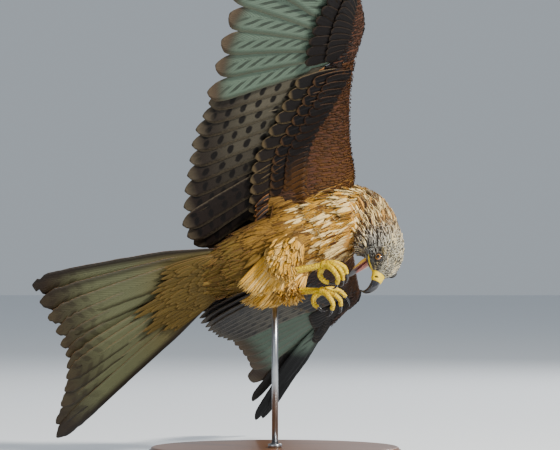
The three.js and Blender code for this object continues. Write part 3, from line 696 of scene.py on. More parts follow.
CERE_KEYS = limb_keys(on_head, (17, 0, -2, 13, 11.4, 11), (28, 0, -2.8, 11.4, 10.4, 9.2),
                      (37.5, 0, -3.8, 8.8, 9, 6.8), (39, 0, -4, 7.6, 7.8, 5.8))
HOOK_KEYS = limb_keys(on_head, (36, 0, -3.6, 8, 8.2, 6), (46, 0, -6, 7, 7.8, 6),
                      (52.5, 0, -11, 5, 5.6, 4.6), (55.6, 0, -18, 3, 3, 2.6),
                      (53.6, 0, -26, 0.5, 0.5, 0.5))
LOWER_BILL_KEYS = limb_keys(on_lower_bill, (-2, -3, 12, 2.4, 4), (16, -3, 10.4, 2.2, 4.6),
                            (32, -2.4, 7.2, 2, 4.2), (43, -1.2, 3.8, 1.6, 2.8),
                            (48, -0.4, 1, 0.8, 0.9))
TONGUE_KEYS = limb_keys(on_lower_bill, (3, 1.4, 5, 1.8, 3), (18, 1.2, 4.4, 1.4, 1.4),
                        (29, 2, 2.6, 1, 1), (34, 2.8, 0.8, 0.6, 0.6))
MOUTH_KEYS = limb_keys(on_lower_bill, (2, 2, GAPE_DROP / 2, 24, 2.5, 2.5),
                       (14, 2, GAPE_DROP / 2, 25, 7, 7), (40, 2, GAPE_DROP / 2, 27, 17, 17))

# One skin under the feathers: torso, neck, head, thighs, wing blades, tail root.
COAT_DEPTH = 3.5
HEAD_DEPTH = 2.2
SKIN_VOXEL = 3.2
BLADE_DETAIL = {"arm": (50, 40, 2.5), "hand": (36, 32, 1.5)}

torso_form = Form(limb_grid(TORSO_KEYS, RIGHT, RIGHT, 60, 72, COAT_DEPTH))
neck_form = Form(limb_grid(NECK_KEYS, RIGHT, HEAD_SIDE, 70, 72, HEAD_DEPTH))
tail_form = Form(limb_grid(TAIL_LUMP_KEYS, RIGHT, RIGHT, 24, 40, COAT_DEPTH))
thigh_forms = {side: Form(limb_grid(THIGH_KEYS[side], FORWARD, FORWARD, 40, 40, COAT_DEPTH))
               for side in SIDES}
wing_forms = {place: Form(blade_grid(wing, *BLADE_DETAIL[place[1]]))
              for place, wing in WINGS.items()}
skin_grids = [form.grid for form in (torso_form, neck_form, tail_form, *thigh_forms.values(),
                                     *wing_forms.values())]
for side in SIDES.values():
    brow = limb_keys(on_head, (-9, side * 20, 12.4, 2.5, 2.5, 2.5),
                     (2, side * 22.2, 12.8, 4, 3.6, 4), (12, side * 19.8, 11.2, 3.6, 3.2, 3.6),
                     (22, side * 12.5, 8, 2, 2, 2))
    skin_grids.append(limb_grid(brow, HEAD_UP, HEAD_UP, 16, 14))
skin = join("skin", [loft("form", grid) for grid in skin_grids])
modify(skin, ("REMESH", {"mode": "VOXEL", "voxel_size": SKIN_VOXEL * MM}),
       ("SMOOTH", {"factor": 0.5, "iterations": 4}))
shade_smooth(skin.data)
cut(skin, limb("mouth_wedge", MOUTH_KEYS, HEAD_SIDE, 20, 24))
skin_shape = bmesh.new()
skin_shape.from_mesh(skin.data)
skin_tree = BVHTree.FromBMesh(skin_shape)
skin_shape.free()


def read(items, field):
    """A vector of each of the skin's vertices or faces."""
    values = np.empty(len(items) * 3)
    items.foreach_get(field, values)
    return values.reshape(-1, 3)


def on_skin(places, normals, reach):
    """Which places lie within reach of the joined skin, and where and how it faces there."""
    keep = np.zeros(len(places), bool)
    spots, facing = places.copy(), normals.copy()
    for i, place in enumerate(places):
        hit, normal, _, _ = skin_tree.find_nearest(Vector(place * MM), reach * MM)
        keep[i] = hit is not None
        if keep[i]:
            spots[i] = np.array(hit) / MM
            facing[i] += np.array(normal)
    return keep, spots, unit(facing)


# Markings: colours of the body's plumage by place, for skin and feathers alike.
def body_colour(places):
    """Tint, mark and rim on torso and tail root, and how much of back and breast. The belly is
    darker behind the breast and toward the vent: partly its own browner colour, partly painted shade
    on the lower body.
    """
    offset = places - mix(TAIL_ROOT, TORSO_KEYS[5][0], 0.6)
    ahead = offset @ FORWARD
    back = smooth(-8, 30, offset @ DORSAL)[:, None]
    vent = smooth(-30, -95, ahead)[:, None]
    breast = smooth(-20, 70, ahead)[:, None]
    # Partly painted shade: the belly darkens behind the breast and darker still toward the vent.
    belly = mix(rgb(178, 130, 42), mix(rgb(120, 88, 32), rgb(88, 70, 26), vent), 1 - breast)
    mark = mix(mix(rgb(70, 42, 20), rgb(62, 36, 16), breast), BLACKISH, back)
    rim = mix(mix(rgb(190, 138, 78), CREAM, breast), rgb(160, 100, 52), back)
    return mix(belly, BROWN_DARK, back), mark, rim, back, breast


def neck_colour(places):
    """Tint, mark and rim on neck and head, and how grey they are."""
    offset = places - HEAD_CENTRE
    height = np.linalg.norm(offset, axis=1) * np.where(offset @ HEAD_FORWARD > 0, 0.2, 1)
    grey = 1 - smooth(26, 64, height)[:, None]
    nape = smooth(-10, 25, offset @ HEAD_UP)[:, None]
    warm = mix(rgb(186, 134, 58), rgb(176, 136, 80), nape)
    tint = mix(warm, mix(rgb(126, 127, 123), rgb(190, 181, 152), nape), grey)
    for side in SIDES.values():
        near_eye = np.linalg.norm(places - eye_place(side), axis=1)
        tint = mix(tint, rgb(52, 46, 40), smooth(15, 8, near_eye)[:, None] * 0.85)
    mark = mix(rgb(58, 40, 24), rgb(38, 33, 28), grey)
    return tint, mark, mix(CREAM, rgb(232, 230, 222), grey), grey


skin_places = read(skin.data.vertices, "co") / MM
torso_middle = Line([key[0] for key in TORSO_KEYS])
from_middle = np.min([np.linalg.norm(skin_places - torso_middle.at(t), axis=1)
                      for t in np.linspace(0, 1, 12)], axis=0)
ahead_of_tail = (skin_places - TAIL_ROOT) @ FORWARD > 20
on_wing = (smooth(62, 84, from_middle) * ahead_of_tail)[:, None]
# The skin takes the body's colours, with the painted shade on the lower belly.
skin_colours = mix(body_colour(skin_places)[0], rgb(74, 38, 15), on_wing)
on_neck = np.linalg.norm(skin_places - seen(380, 240, -40), axis=1) < 75
skin_colours[on_neck] = neck_colour(skin_places[on_neck])[0]
from_mouth = skin_places - on_lower_bill(16, 0, GAPE_DROP / 2)
near_mouth = (np.abs(from_mouth @ HEAD_SIDE) < 12) & (np.linalg.norm(from_mouth, axis=1) < 26)
in_mouth = near_mouth & ((skin_places - GAPE_CORNER) @ HEAD_FORWARD > -6)
skin_colours[in_mouth] = rgb(116, 58, 52)
store_colours(skin.data, "tint", with_alpha(skin_colours * 0.8))
finish_piece(skin, tinted_material("skin", 0.95), "plumage_body", "torso", "neck", "head")

# Contour feathers over the body, neck, head and thighs.
laid_feathers = []


def scatter(values, amount, chance):
    """Each feather a little lighter or darker than its neighbours."""
    factor = 1 + amount * chance.standard_normal((len(values), 1))
    return np.clip(values * np.clip(factor, 0.5, 1.6), 0, 1)


def ramp(places, *rows):
    """A function that reads each row of values at a share of the way."""
    return lambda t: [np.interp(t, places, row) for row in rows]


def raised(feathers):
    """Lift feathers whose middle lies in the skin, and drop those too deep to show."""
    root, along, normal, length = (
        feathers[key] for key in ("root", "along", "normal", "length"))
    lifts = feathers["lifts"].copy()
    shown = np.ones(len(root), bool)
    middle = root + along * length[:, None] * 0.5 + normal * (lifts * length * 0.4)[:, None]
    for i, place in enumerate(middle):
        hit, facing, _, _ = skin_tree.find_nearest(Vector(place * MM))
        depth = -(place - np.array(hit) / MM) @ np.array(facing)
        if depth > 0:
            lifts[i] += 2 * depth / length[i]
            shown[i] = depth < 0.16 * length[i]
    return {key: value[shown] for key, value in {**feathers, "lifts": lifts}.items()}


def set_in(plumage, shape, curl, feathers):
    """Add feathers with their roots a little way into the skin."""
    depth = np.minimum(0.8, 0.03 * feathers["length"])[:, None]
    root = feathers["root"] - feathers["normal"] * depth
    contour(plumage, shape, curl, {**feathers, "root": root})


def cover(plumage, form, spacing, size, flow, colouring, seed, start=0.0, stop=1.0,
          shape=CONTOUR, lift=0.1, curl=-0.05, keep=None, jitter=0.12, reach=4.5, box=(0, 1),
          snap=True):
    """Lay small feathers over a form, where the joined skin is within reach of it."""
    chance = np.random.default_rng(seed)
    t, turn = form.spots(spacing, start, stop, chance)
    root = form.sample(form.grid, t, turn)
    normal = unit(form.sample(form.normals, t, turn))
    along = squared(flow(root, form.sample(form.along, t, turn)), normal)
    chosen, spots, facing = on_skin(root, normal, reach)
    if snap:
        root, normal = spots, facing
        along = squared(along, normal)
    if keep:
        chosen &= keep(root, turn)
    t, turn, root, along, normal = (a[chosen] for a in (t, turn, root, along, normal))
    number = len(root)
    wander = np.cross(normal, along) * chance.normal(0, jitter, (number, 1))
    length, width = size(t, turn)
    feathers = {
        "root": root, "normal": normal, "along": unit(along + wander),
        "length": length * chance.uniform(0.85, 1.15, number),
        "width": width * chance.uniform(0.88, 1.12, number),
        "look": colouring(root, turn, chance),
        "spread": np.stack([turn, box[0] + t * (box[1] - box[0])], axis=-1),
        "lifts": lift * chance.uniform(0.75, 1.3, number),
    }
    if snap:
        feathers = raised(feathers)
    set_in(plumage, shape, curl, feathers)
    laid_feathers.append((plumage, shape, curl, feathers))


def off_the_face(root, turn=None):
    """Keep clear of the eyes, the bill and the open mouth."""
    keep = np.ones(len(root), bool)
    for side in SIDES.values():
        keep &= np.linalg.norm(root - eye_place(side), axis=1) > EYE_RADIUS + 0.6
    local = root - HEAD_CENTRE
    keep &= ~((local @ HEAD_FORWARD > 30) & (local @ HEAD_UP > -20))
    ahead, above = (root - GAPE_CORNER) @ HEAD_FORWARD, (root - GAPE_CORNER) @ HEAD_UP
    return keep & ~((ahead > -1) & (above < 0.5) & (above > -ahead * math.tan(GAPE_DROP) - 3))


def fill_bare(coats, seed):
    """Feathers for bare places of the skin, each like the nearest one already laid."""
    centres = read(skin.data.polygons, "center") / MM
    normals = read(skin.data.polygons, "normal")
    owners = [(n, i) for n, entry in enumerate(laid_feathers) for i in range(len(entry[3]["root"]))]
    tree = KDTree(len(owners))
    for index, (n, i) in enumerate(owners):
        tree.insert(laid_feathers[n][3]["root"][i], index)
    tree.balance()
    chance = np.random.default_rng(seed)
    added = {n: [] for n in range(len(laid_feathers))}
    taken = {}
    for face in chance.permutation(len(centres)):
        place, normal = centres[face], normals[face]
        near = tree.find_n(place, 16)
        for _, index, _ in near:
            n, i = owners[index]
            plumage, _, _, laid = laid_feathers[n]
            if (laid["normal"][i] @ normal > 0.2 and abs(laid["along"][i] @ normal) < 0.7
                    and plumage in coats):
                break
        else:
            continue
        gap = max(1.3, 0.31 * laid["width"][i])
        if near[0][2] < gap or not off_the_face(place[None])[0]:
            continue
        cell = np.floor(place / 6).astype(int)
        around = [spot for step in np.ndindex(3, 3, 3)
                  for spot in taken.get(tuple(cell + step - 1), ())]
        if any(np.abs(spot - place).max() < gap * 0.8 for spot in around):
            continue
        taken.setdefault(tuple(cell), []).append(place)
        added[n].append((face, i))
    for n, pairs in added.items():
        if pairs:
            plumage, shape, curl, laid = laid_feathers[n]
            face, i = np.array(pairs).T
            feathers = {key: value[i] for key, value in laid.items()}
            feathers.update(root=centres[face], normal=normals[face],
                            along=squared(feathers["along"], normals[face]))
            set_in(plumage, shape, curl, raised(feathers))


def speckle(across, along):
    """A fixed random value for each cell, the cells of every column starting elsewhere."""
    column = np.floor(across)
    row = np.floor(along + np.sin(column * 91.7) * 5)
    return (np.abs(np.sin(column * 12.99 + row * 78.23) * 4375.85) % 1)[:, None]


def streaked(tint, mark, pale, dark, pale_share, dark_share):
    """Some cells of feathers paler, others darker."""
    return np.where(pale, mix(tint, CREAM, pale_share),
                    np.where(dark, mix(tint, mark, dark_share), tint))


def back_along(root, along):
    return -along


def body_feathers(root, turn, chance):
    tint, mark, rim, back, breast = body_colour(root)
    shares = speckle(turn * 84, root @ FORWARD / 26)
    pale = shares < 0.3 * breast * (1 - back)
    dark = shares > 1 - 0.24 * breast * (1 - back)
    tint = scatter(streaked(tint, mark, pale, dark, 0.62, 0.6), 0.12, chance)
    streak = np.where(back > 0.5, 0.5, mix(0.14, 0.26, breast))
    streak = streak * chance.uniform(0.4, 1.5, (len(root), 1)) * np.where(pale, 0.3, 1)
    fringe = np.where(back > 0.5, 0.7, mix(0.35, 0.75, breast))
    return sheet(tint, mark, rim, streak, 0, fringe, 0)


def torso_size(t, turn):
    length = np.interp(t, [0, 0.3, 0.6, 1], [46, 40, 32, 24])
    back = smooth(0.2, 0.6, np.sin(turn * 2 * math.pi))
    return length, length * mix(np.interp(t, [0, 0.5, 1], [0.34, 0.3, 0.26]), 0.42, back)


def neck_feathers(root, turn, chance):
    tint, mark, rim, grey = neck_colour(root)
    shares = speckle(turn * 60, root @ HEAD_FORWARD / 16)
    tint = streaked(tint, mark, shares < mix(0.4, 0.25, grey), shares > mix(0.7, 0.88, grey),
                    0.7, 0.7)
    tint = scatter(tint, 0.1, chance)
    streak = mix(0.34, 0.46, grey) * chance.uniform(0.4, 1.6, (len(root), 1))
    return sheet(tint, mark, rim, streak, 0, mix(0.6, 0.5, grey), 0)


def neck_size(t, turn):
    length = np.interp(t, [0, 0.3, 0.5, 0.68, 0.8, 1], [26, 24, 18, 11, 7, 3.6])
    return length, length * np.interp(t, [0.3, 0.8, 1], [0.34, 0.42, 0.5])


torso_coat, neck_coat, head_coat = Plumage(), Plumage(), Plumage()
cover(torso_coat, torso_form, ramp([0, 1], [6.4, 4.2], [6, 3.8]), torso_size, back_along,
      body_feathers, 31, shape=LANCE, lift=0.085)
cover(neck_coat, neck_form, ramp([0.2, 0.5], [5, 4.2], [4.6, 3.8]), neck_size, back_along,
      neck_feathers, 32, 0.12, 0.52, shape=LANCE, keep=off_the_face)
cover(head_coat, neck_form, ramp([0.5, 0.75, 1], [3.2, 1.9, 1.1], [3, 1.9, 1.1]), neck_size,
      back_along, neck_feathers, 33, 0.52, 0.99, lift=0.16, keep=off_the_face)


def thigh_feathers(root, turn, chance):
    number = len(root)
    hip = np.minimum(*(np.linalg.norm(root - keys[0][0], axis=1) for keys in THIGH_KEYS.values()))
    # Near the hip the tint and rim darken to the flank's brown: partly its own colour, partly
    # painted shade where thigh meets body.
    flank = smooth(34, 12, hip)[:, None]
    gold = mix(rgb(194, 142, 38), CREAM, chance.random((number, 1)) ** 2 * 0.5)
    tint = scatter(mix(gold, rgb(132, 96, 34), flank), 0.1, chance)
    rim = mix(rgb(222, 188, 118), rgb(176, 128, 66), flank)
    return sheet(tint, rgb(104, 64, 26), rim, chance.uniform(0.04, 0.2, (number, 1)), 0, 0.5, 0)


def trouser_feathers(plumage, side, seed, layers=6, count=30):
    """Long narrow feathers that hang back from the thigh in layers."""
    chance = np.random.default_rng(seed)
    starts, ends = TROUSERS[side]
    key = THIGH_KEYS[side]
    outer = unit(np.cross(unit(key[3][0] - key[1][0]), FORWARD))
    roots, tips = [], []
    for layer in range(layers):
        for i in range(count):
            u = np.clip((i + chance.uniform(-0.4, 0.4)) / (count - 1), 0, 1)
            start, end = starts.at(u), ends.at(u)
            sideways = outer * (layer / (layers - 1) - 0.5) * 15
            roots.append(mix(start, end, -0.15 + 0.3 * chance.random()) + sideways)
            tips.append(mix(start, end, chance.uniform(0.8, 1.0)) + sideways * 0.3)
    roots, tips = np.array(roots), np.array(tips)
    number = len(roots)
    along = unit(tips - roots)
    outward = np.where((roots - starts.at(0.5)) @ outer >= 0, 1, -1)[:, None]
    contour(plumage, LANCE, -0.04, {
        "root": roots, "along": along, "normal": squared(outer * outward, along),
        "length": np.linalg.norm(tips - roots, axis=1), "lifts": np.full(number, 0.02),
        "look": thigh_feathers(roots, None, chance),
        "spread": np.stack([chance.random(number), 0.5 + 0.45 * chance.random(number)], -1),
        "width": chance.uniform(6, 9, number),
    })


thigh_coats = {}
for n, (side, form) in enumerate(thigh_forms.items()):
    thigh_coats[side] = Plumage()
    hang = unit(TROUSERS[side][1].at(0.5) - TROUSERS[side][0].at(0.5))
    cover(thigh_coats[side], form, ramp([0, 1], [5, 2.6], [4.4, 2.2]),
          lambda t, turn: (np.interp(t, [0, 0.6, 1], [30, 26, 9]), np.interp(t, [0, 1], [8.5, 3.4])),
          lambda root, along: along * 0.55 + hang * 0.75,
          thigh_feathers, 41 + n, 0.02, 0.98, box=(0, 0.5))
    trouser_feathers(thigh_coats[side], side, 51 + n)


# Wings: small coverts over both faces of the blades, then rows of longer ones.
def chord_share(turn):
    """How far a place on a wing's blade lies behind the leading edge."""
    return 0.5 - 0.5 * np.cos(turn * 2 * math.pi)


def lining_feathers(kind, wrist):
    """Colours of the small coverts: rufous lining under the arm, browns above. The colours below are
    set darker than the feathers' own, as painted shade on the underwing.
    """
    def colouring(root, turn, chance):
        number = len(root)
        under = ((turn % 1) > 0.5)[:, None]
        chord = chord_share(turn)[:, None]
        rear = smooth(0.34, 0.56, chord + chance.normal(0, 0.06, (number, 1)))
        # Painted shade: the colours below, on arm and hand, are darker than the lining's own rufous
        # and black.
        if kind == "arm":
            from_body, from_wrist = (np.linalg.norm(root - place, axis=1)[:, None]
                                     for place in (seen(330, 215, -20), wrist))
            near_body = smooth(170, 60, from_body)
            front = mix(rgb(66, 37, 8), rgb(40, 22, 6), chance.random((number, 1)))
            front = mix(front, mix(rgb(98, 62, 22), rgb(52, 34, 18), rear), near_body * 0.5)
            carpal = smooth(95, 45, from_wrist) * smooth(0.12, 0.3, chord)
            below = mix(front, rgb(12, 9, 10), np.maximum(rear * (1 - near_body * 0.8), carpal))
            above = mix(rgb(150, 98, 52), BROWN_DARK, chance.random((number, 1)) * 0.7)
        else:
            below = mix(rgb(44, 26, 16), rgb(11, 9, 10), smooth(0.1, 0.3, chord))
            above = mix(BROWN_DARK, BLACKISH, chance.random((number, 1)))
        tint = scatter(np.where(under, below, above), 0.08, chance)
        rim = np.where(under, mix(rgb(86, 48, 18), rgb(36, 26, 18), rear), rgb(170, 118, 68))
        streak = np.where(under, 0.2, 0.42) * chance.uniform(0.3, 1.5, (number, 1))
        return sheet(tint, rgb(36, 22, 14), rim, streak, 0, np.where(under, 0.3, 0.5), 0)
    return colouring


def chordwise(wing):
    """Back over both faces from the leading edge, a little outward."""
    leading, trailing = wing["leading"], wing["trailing"]
    directions = np.array([unit(trailing.at(t) - leading.at(t)) for t in np.linspace(0, 1, 9)])
    span = leading.at(1) - leading.at(0)
    reach = np.linalg.norm(span)
    middle = mix(leading.at(0.5), trailing.at(0.5), 0.5)
    normal = wing["normal"][0]

    def flow(root, along):
        place = np.clip((root - leading.at(0)) @ span / reach ** 2, 0, 1) * 8
        i = np.minimum(place.astype(int), 7)
        face = np.sign((root - middle) @ normal)[:, None]
        back = mix(directions[i], directions[i + 1], (place - i)[:, None])
        return back + span / reach * 0.15 + face * normal * 0.3
    return flow


def wing_lining(plumage, place, seed):
    wing = WINGS[place]
    full = 24 if place[1] == "arm" else 17

    def size(t, turn):
        length = full * np.interp(chord_share(turn), [0, 0.05, 0.3, 1], [0.22, 0.4, 0.85, 1])
        return length, length * np.interp(chord_share(turn), [0, 0.3], [0.5, 0.4])

    cover(plumage, wing_forms[place], lambda t: (4.4, 3.4), size, chordwise(wing),
          lining_feathers(place[1], wing["leading"].places[-1]), seed, 0.0, 0.99, lift=0.04,
          curl=-0.03, reach=2.5, jitter=0.08, snap=False,
          keep=lambda root, turn: chord_share(turn) < 0.78)


# Paint for the long feathers: t down the vane, across it, and 1 on its upper face.
def secondary_paint(u, chance):
    """Grey-buff below with rows of dark spots and dark tips, set darker than their own colour as
    painted shade on the underwing; blackish above.
    """
    grey = mix(rgb(68, 64, 54), rgb(24, 19, 17), smooth(0.1, 0.65, 1 - u))
    shade = chance.uniform(0.85, 1.12)
    bars = chance.uniform(7.4, 9.6)

    def paint(t, across, upper):
        dark_end = smooth(0.6, 0.92, t)
        below = mix(grey * shade, rgb(27, 21, 19), dark_end * 0.85)
        above = mix(rgb(62, 46, 36), BLACKISH, dark_end) * shade
        strength = np.where(upper > 0.5, 0.4, 0.95) * smooth(0.2, 0.4, t)
        return sheet(mix(below, above, upper), rgb(14, 12, 12),
                     mix(rgb(102, 92, 74), rgb(110, 84, 60), upper), 0.03, strength, 0.35, bars)
    return paint


def primary_paint(u, chance):
    """Pale grey-green window and dark tips below, set darker than their own colour as painted shade
    on the underwing; outermost ones black beyond it.
    """
    outer = smooth(0.5, 0.72, u)
    reach = mix(0.93, 0.42, outer)
    shade = chance.uniform(0.94, 1.06)

    def paint(t, across, upper):
        dark_end = smooth(reach - 0.1, reach + 0.03, t)
        below = mix(rgb(80, 94, 82) * shade, mix(rgb(54, 42, 34), rgb(10, 9, 10), outer), dark_end)
        below = mix(below, rgb(20, 18, 18), smooth(0.5, 1.0, across) * mix(0.35, 0.95, outer))
        above = mix(rgb(52, 42, 36), BLACKISH, np.maximum(dark_end, outer)) * shade
        rim = mix(mix(rgb(104, 92, 74), rgb(26, 23, 23), outer), rgb(96, 78, 64), upper)
        strength = np.where(upper > 0.5, 0.3, 0.7) * (1 - dark_end) * smooth(0.1, -0.1, across)
        return sheet(mix(below, above, upper), mix(rgb(30, 30, 28), BLACKISH, upper), rim,
                     0.03, strength, 0.35, 10)
    return paint


def covert_paint(under, above, rim_under, rim_above, streak=0.06, rim=0.6):
    """Coverts of one colour each face, with pale tips; under() says it for a place."""
    def make(u, chance):
        shade = chance.uniform(0.85, 1.12)

        def paint(t, across, upper):
            return sheet(mix(under(u), above, upper) * shade, BLACKISH,
                         mix(rim_under, rim_above, upper), streak, 0, rim, 0)
        return paint
    return make


def tail_paint(u, chance):
    """Olive-grey below, set darker than its own colour as painted shade on the underside, bright
    rufous above, with dark corners and faint bars.
    """
    outer = smooth(0.6, 1.0, abs(2 * u - 1))
    shade = chance.uniform(0.94, 1.06)
    bars = chance.uniform(10, 15)

    def paint(t, across, upper):
        corner = smooth(0.68, 0.94, t) * mix(0.8, 1, outer)
        below = mix(rgb(76, 78, 56) * shade, rgb(32, 21, 13), corner * 0.95)
        below = mix(below, rgb(84, 68, 32), smooth(0.55, 0.2, t) * 0.6)
        edge = smooth(mix(0.5, 0.0, outer), mix(1.0, 0.66, outer), across)
        below = mix(below, rgb(24, 18, 14), edge * mix(0.35, 0.95, outer))
        above = mix(RUFOUS_BRIGHT * shade, rgb(72, 42, 26), corner * mix(0.3, 0.95, outer))
        rim = mix(mix(rgb(62, 48, 32), rgb(14, 11, 10), outer), rgb(222, 178, 128), upper)
        return sheet(mix(below, above, upper), mix(rgb(26, 18, 12), rgb(104, 58, 30), upper), rim,
                     0.04, 0.45 * smooth(0.62, 0.85, t), 0.35, bars)
    return paint


# The under colours of the wing's coverts are partly their own dark colours, partly painted shade on
# the underwing.
GREATER_UNDER = covert_paint(lambda u: mix(rgb(30, 23, 19), rgb(20, 18, 18), u), rgb(66, 48, 38),
                             rgb(116, 98, 68), rgb(150, 112, 76), rim=0.45)
MEDIAN = covert_paint(lambda u: mix(rgb(28, 19, 14), rgb(11, 9, 10), smooth(0.1, 0.5, u)),
                      rgb(128, 92, 56), rgb(96, 68, 42), rgb(178, 142, 96), 0.16, 0.5)
LINING = covert_paint(lambda u: mix(rgb(70, 44, 18), rgb(16, 12, 11), smooth(0.1, 0.45, u)),
                      rgb(140, 96, 56), rgb(92, 58, 32), rgb(196, 150, 100), 0.16, 0.25)
PRIMARY_COVERT = covert_paint(lambda u: rgb(20, 17, 17), rgb(30, 26, 26), rgb(62, 50, 38),
                              rgb(84, 62, 48), rim=0.4)
VENT = covert_paint(lambda u: rgb(72, 58, 22), rgb(178, 104, 50), rgb(124, 98, 54),
                    rgb(214, 160, 104), 0.1, 0.2)


def feather_row(plumage, wing, seed, bakes, count, start, stop, forward, rise, front, back,
                lifts, bow, shape, stations, paint, tip_rise=None, reach=None, outward=1,
                wander=0.02, worn=0.0):
    """Long feathers side by side, from a wing's root line toward its tip line."""
    chance = np.random.default_rng(seed)
    for i in range(count):
        u = mix(start, stop, i / (count - 1))
        root, tip = wing["roots"].at(u), wing["tips"].at(u)
        along = unit(tip - root)
        normal = unit(mix(*wing["normal"], u))
        length = reach(u) if reach else np.linalg.norm(tip - root)
        length = length * (1 + wander * (chance.random() - 0.5))
        long_feather(plumage, chance, next(bakes), root - along * forward + normal * rise,
                     root + along * length + normal * (rise if tip_rise is None else tip_rise),
                     normal, wing["hand"] * outward, front * wing["width"], back * wing["width"],
                     [lift * DEGREE for lift in lifts], bow, shape, stations, paint(u, chance),
                     worn)


def bake_boxes(columns, rows):
    """Places for the long feathers on their own map, side by side."""
    for j in range(rows):
        for i in range(columns):
            yield (i / columns, j / rows, (i + 0.96) / columns, (j + 0.96) / rows)


def covert_rows(*rows):
    """The same rows of coverts below and above a blade. Each row gives how many, where it
    starts and stops, how far it starts forward, its rise at root and tip, its reach and how
    that grows outward, its two half widths, lifts, bow, stations and paint."""
    return [{"count": count, "start": start, "stop": stop, "forward": forward,
             "rise": rise * face, "tip_rise": tip_rise * face,
             "reach": lambda u, reach=reach: reach[0] + reach[1] * u, "front": front,
             "back": back, "lifts": lifts, "bow": bow, "shape": COVERT, "stations": stations,
             "paint": paint}
            for face in (-1, 1)
            for (count, start, stop, forward, rise, tip_rise, reach, front, back, lifts, bow,
                 stations, paint) in rows]


QUILL_ROWS = {
    "arm": [
        {"count": 14, "start": 0, "stop": 1, "forward": 16, "rise": 0, "front": 14, "back": 21,
         "lifts": (5, 3.4), "bow": 4, "shape": FLIGHT, "stations": 22, "paint": secondary_paint},
        *covert_rows(
            (15, 0.0, 0.98, 26, 3.8, 3.6, (80, -14), 10, 15, (5, 4), 1.5, 12, GREATER_UNDER),
            (17, 0.0, 0.96, 30, 5.6, 5.4, (40, -6), 9, 13, (5, 4.4), 1.2, 10, MEDIAN),
            (20, 0.0, 0.94, 30, 7.2, 6.6, (12, -2), 8, 11, (5, 4.6), 1, 8, LINING)),
    ],
    "hand": [
        {"count": 6, "start": 0, "stop": 5 / 9, "forward": 24, "rise": 0, "front": 17,
         "back": 30, "lifts": (7, 3), "bow": 4, "shape": FLIGHT, "stations": 26,
         "paint": primary_paint},
        {"count": 4, "start": 6 / 9, "stop": 1, "forward": 12, "rise": 0, "front": 13,
         "back": 24, "lifts": (7, 4), "bow": 5, "shape": FINGER, "stations": 30,
         "paint": primary_paint},
        *covert_rows(
            (10, 0.02, 0.94, 16, 4.2, 4.6, (62, 18), 9, 12, (6, 5), 1, 12, PRIMARY_COVERT),
            (11, 0.0, 0.9, 22, 5.8, 6.0, (28, 8), 8, 10, (5, 5), 1, 9, PRIMARY_COVERT)),
    ],
}
QUILL_SEED = {"arm": 110, "hand": 100}
LINING_SEED = {"arm": 60, "hand": 61}


def alula(plumage, wing, chance, bakes, count=4):
    """Stiff feathers that lie along the hand's leading edge."""
    edge, normal = wing["leading"], wing["normal"][0]
    for i in range(count):
        root = edge.at(0.1) + normal * (3 + 1.4 * i)
        toward = unit(edge.at(0.62 - 0.08 * i) - root)
        long_feather(plumage, chance, next(bakes), root, root + toward * (62 - 10 * i), normal,
                     wing["hand"], 4, 11 - 1.6 * i, (0, 0), 1.5, COVERT, 12,
                     PRIMARY_COVERT(0.5, chance))


feather_look = plumage_material("plumage")
quill_looks = {
    "arm": plumage_material("flight_plumage", 0.5, 0.2, (0.0, 0.72), 16.0, shine=0.08),
    "hand": plumage_material("primary_plumage", 0.52, 0.9, (0.05, 0.5), shine=0.06),
}
WING_SLOTS = {"arm": "plumage_wing", "hand": "plumage_hand"}
linings = {}
for n, side in enumerate(SIDES):
    for kind, slot_name in WING_SLOTS.items():
        place = (side, kind)
        quills = Plumage()
        bakes = bake_boxes(12, 10)
        for i, row in enumerate(QUILL_ROWS[kind]):
            feather_row(quills, WINGS[place], QUILL_SEED[kind] + 20 * n + i, bakes, **row)
        if kind == "hand":
            alula(quills, WINGS[place], np.random.default_rng(140 + n), bakes)
        quills.build(f"quills_{side}_{kind}", quill_looks[kind], f"wing_{side}_{kind}", slot_name)
        linings[place] = Plumage()
        wing_lining(linings[place], place, LINING_SEED[kind] + 2 * n)

# The tail: a forked fan, its outer feathers under the inner ones.
TAIL_NORMAL = unit([-0.44, 0.72, 0.54])
TAIL = {
    "hand": 1, "normal": (TAIL_NORMAL, TAIL_NORMAL), "width": 1,
    "roots": seen_line((215, 253, -84), (214, 274, -60), (217, 294, -32)),
    "tips": seen_line((33, 286, -225), (48, 316, -196), (60, 342, -162), (67, 362, -138),
                      (66, 382, -116), (59, 410, -86), (55, 439, -56)),
}
HALF_LIFT = 2.8

tail_quills = Plumage()
tail_bakes = bake_boxes(16, 14)
for half in (0, 1):
    feather_row(tail_quills, TAIL, 83 + half, tail_bakes, 6, (5 + half) / 11, half, 10,
                0 if half else HALF_LIFT, 18, 24, (8.5, 3.4), 3, FLIGHT, 34, tail_paint,
                outward=-1 if half else 1, worn=0.12)
for face in (-1, 1):
    for row, (reach, count) in enumerate(((128, 17), (104, 18), (80, 18), (56, 18), (36, 18))):
        rise = (5.2 + 0.9 * row) * face + (2.4 if face > 0 else 0)
        feather_row(tail_quills, TAIL, 91 + 8 * face + row, tail_bakes, count,
                    0.05 + 0.02 * row, 0.95 - 0.02 * row, 14 + 4 * row, rise, 7, 9, (5, 4), 1.5,
                    SOFT, 11, VENT, tip_rise=rise - 1.2 * face, wander=0.5,
                    reach=lambda u: reach - 60 * abs(u - 0.5) - (14 if face > 0 else 0))
tail_quills.build("quills_tail", plumage_material("tail_plumage", 0.55, 0.2, (0.08, 0.8)), "tail",
                  "plumage_tail")


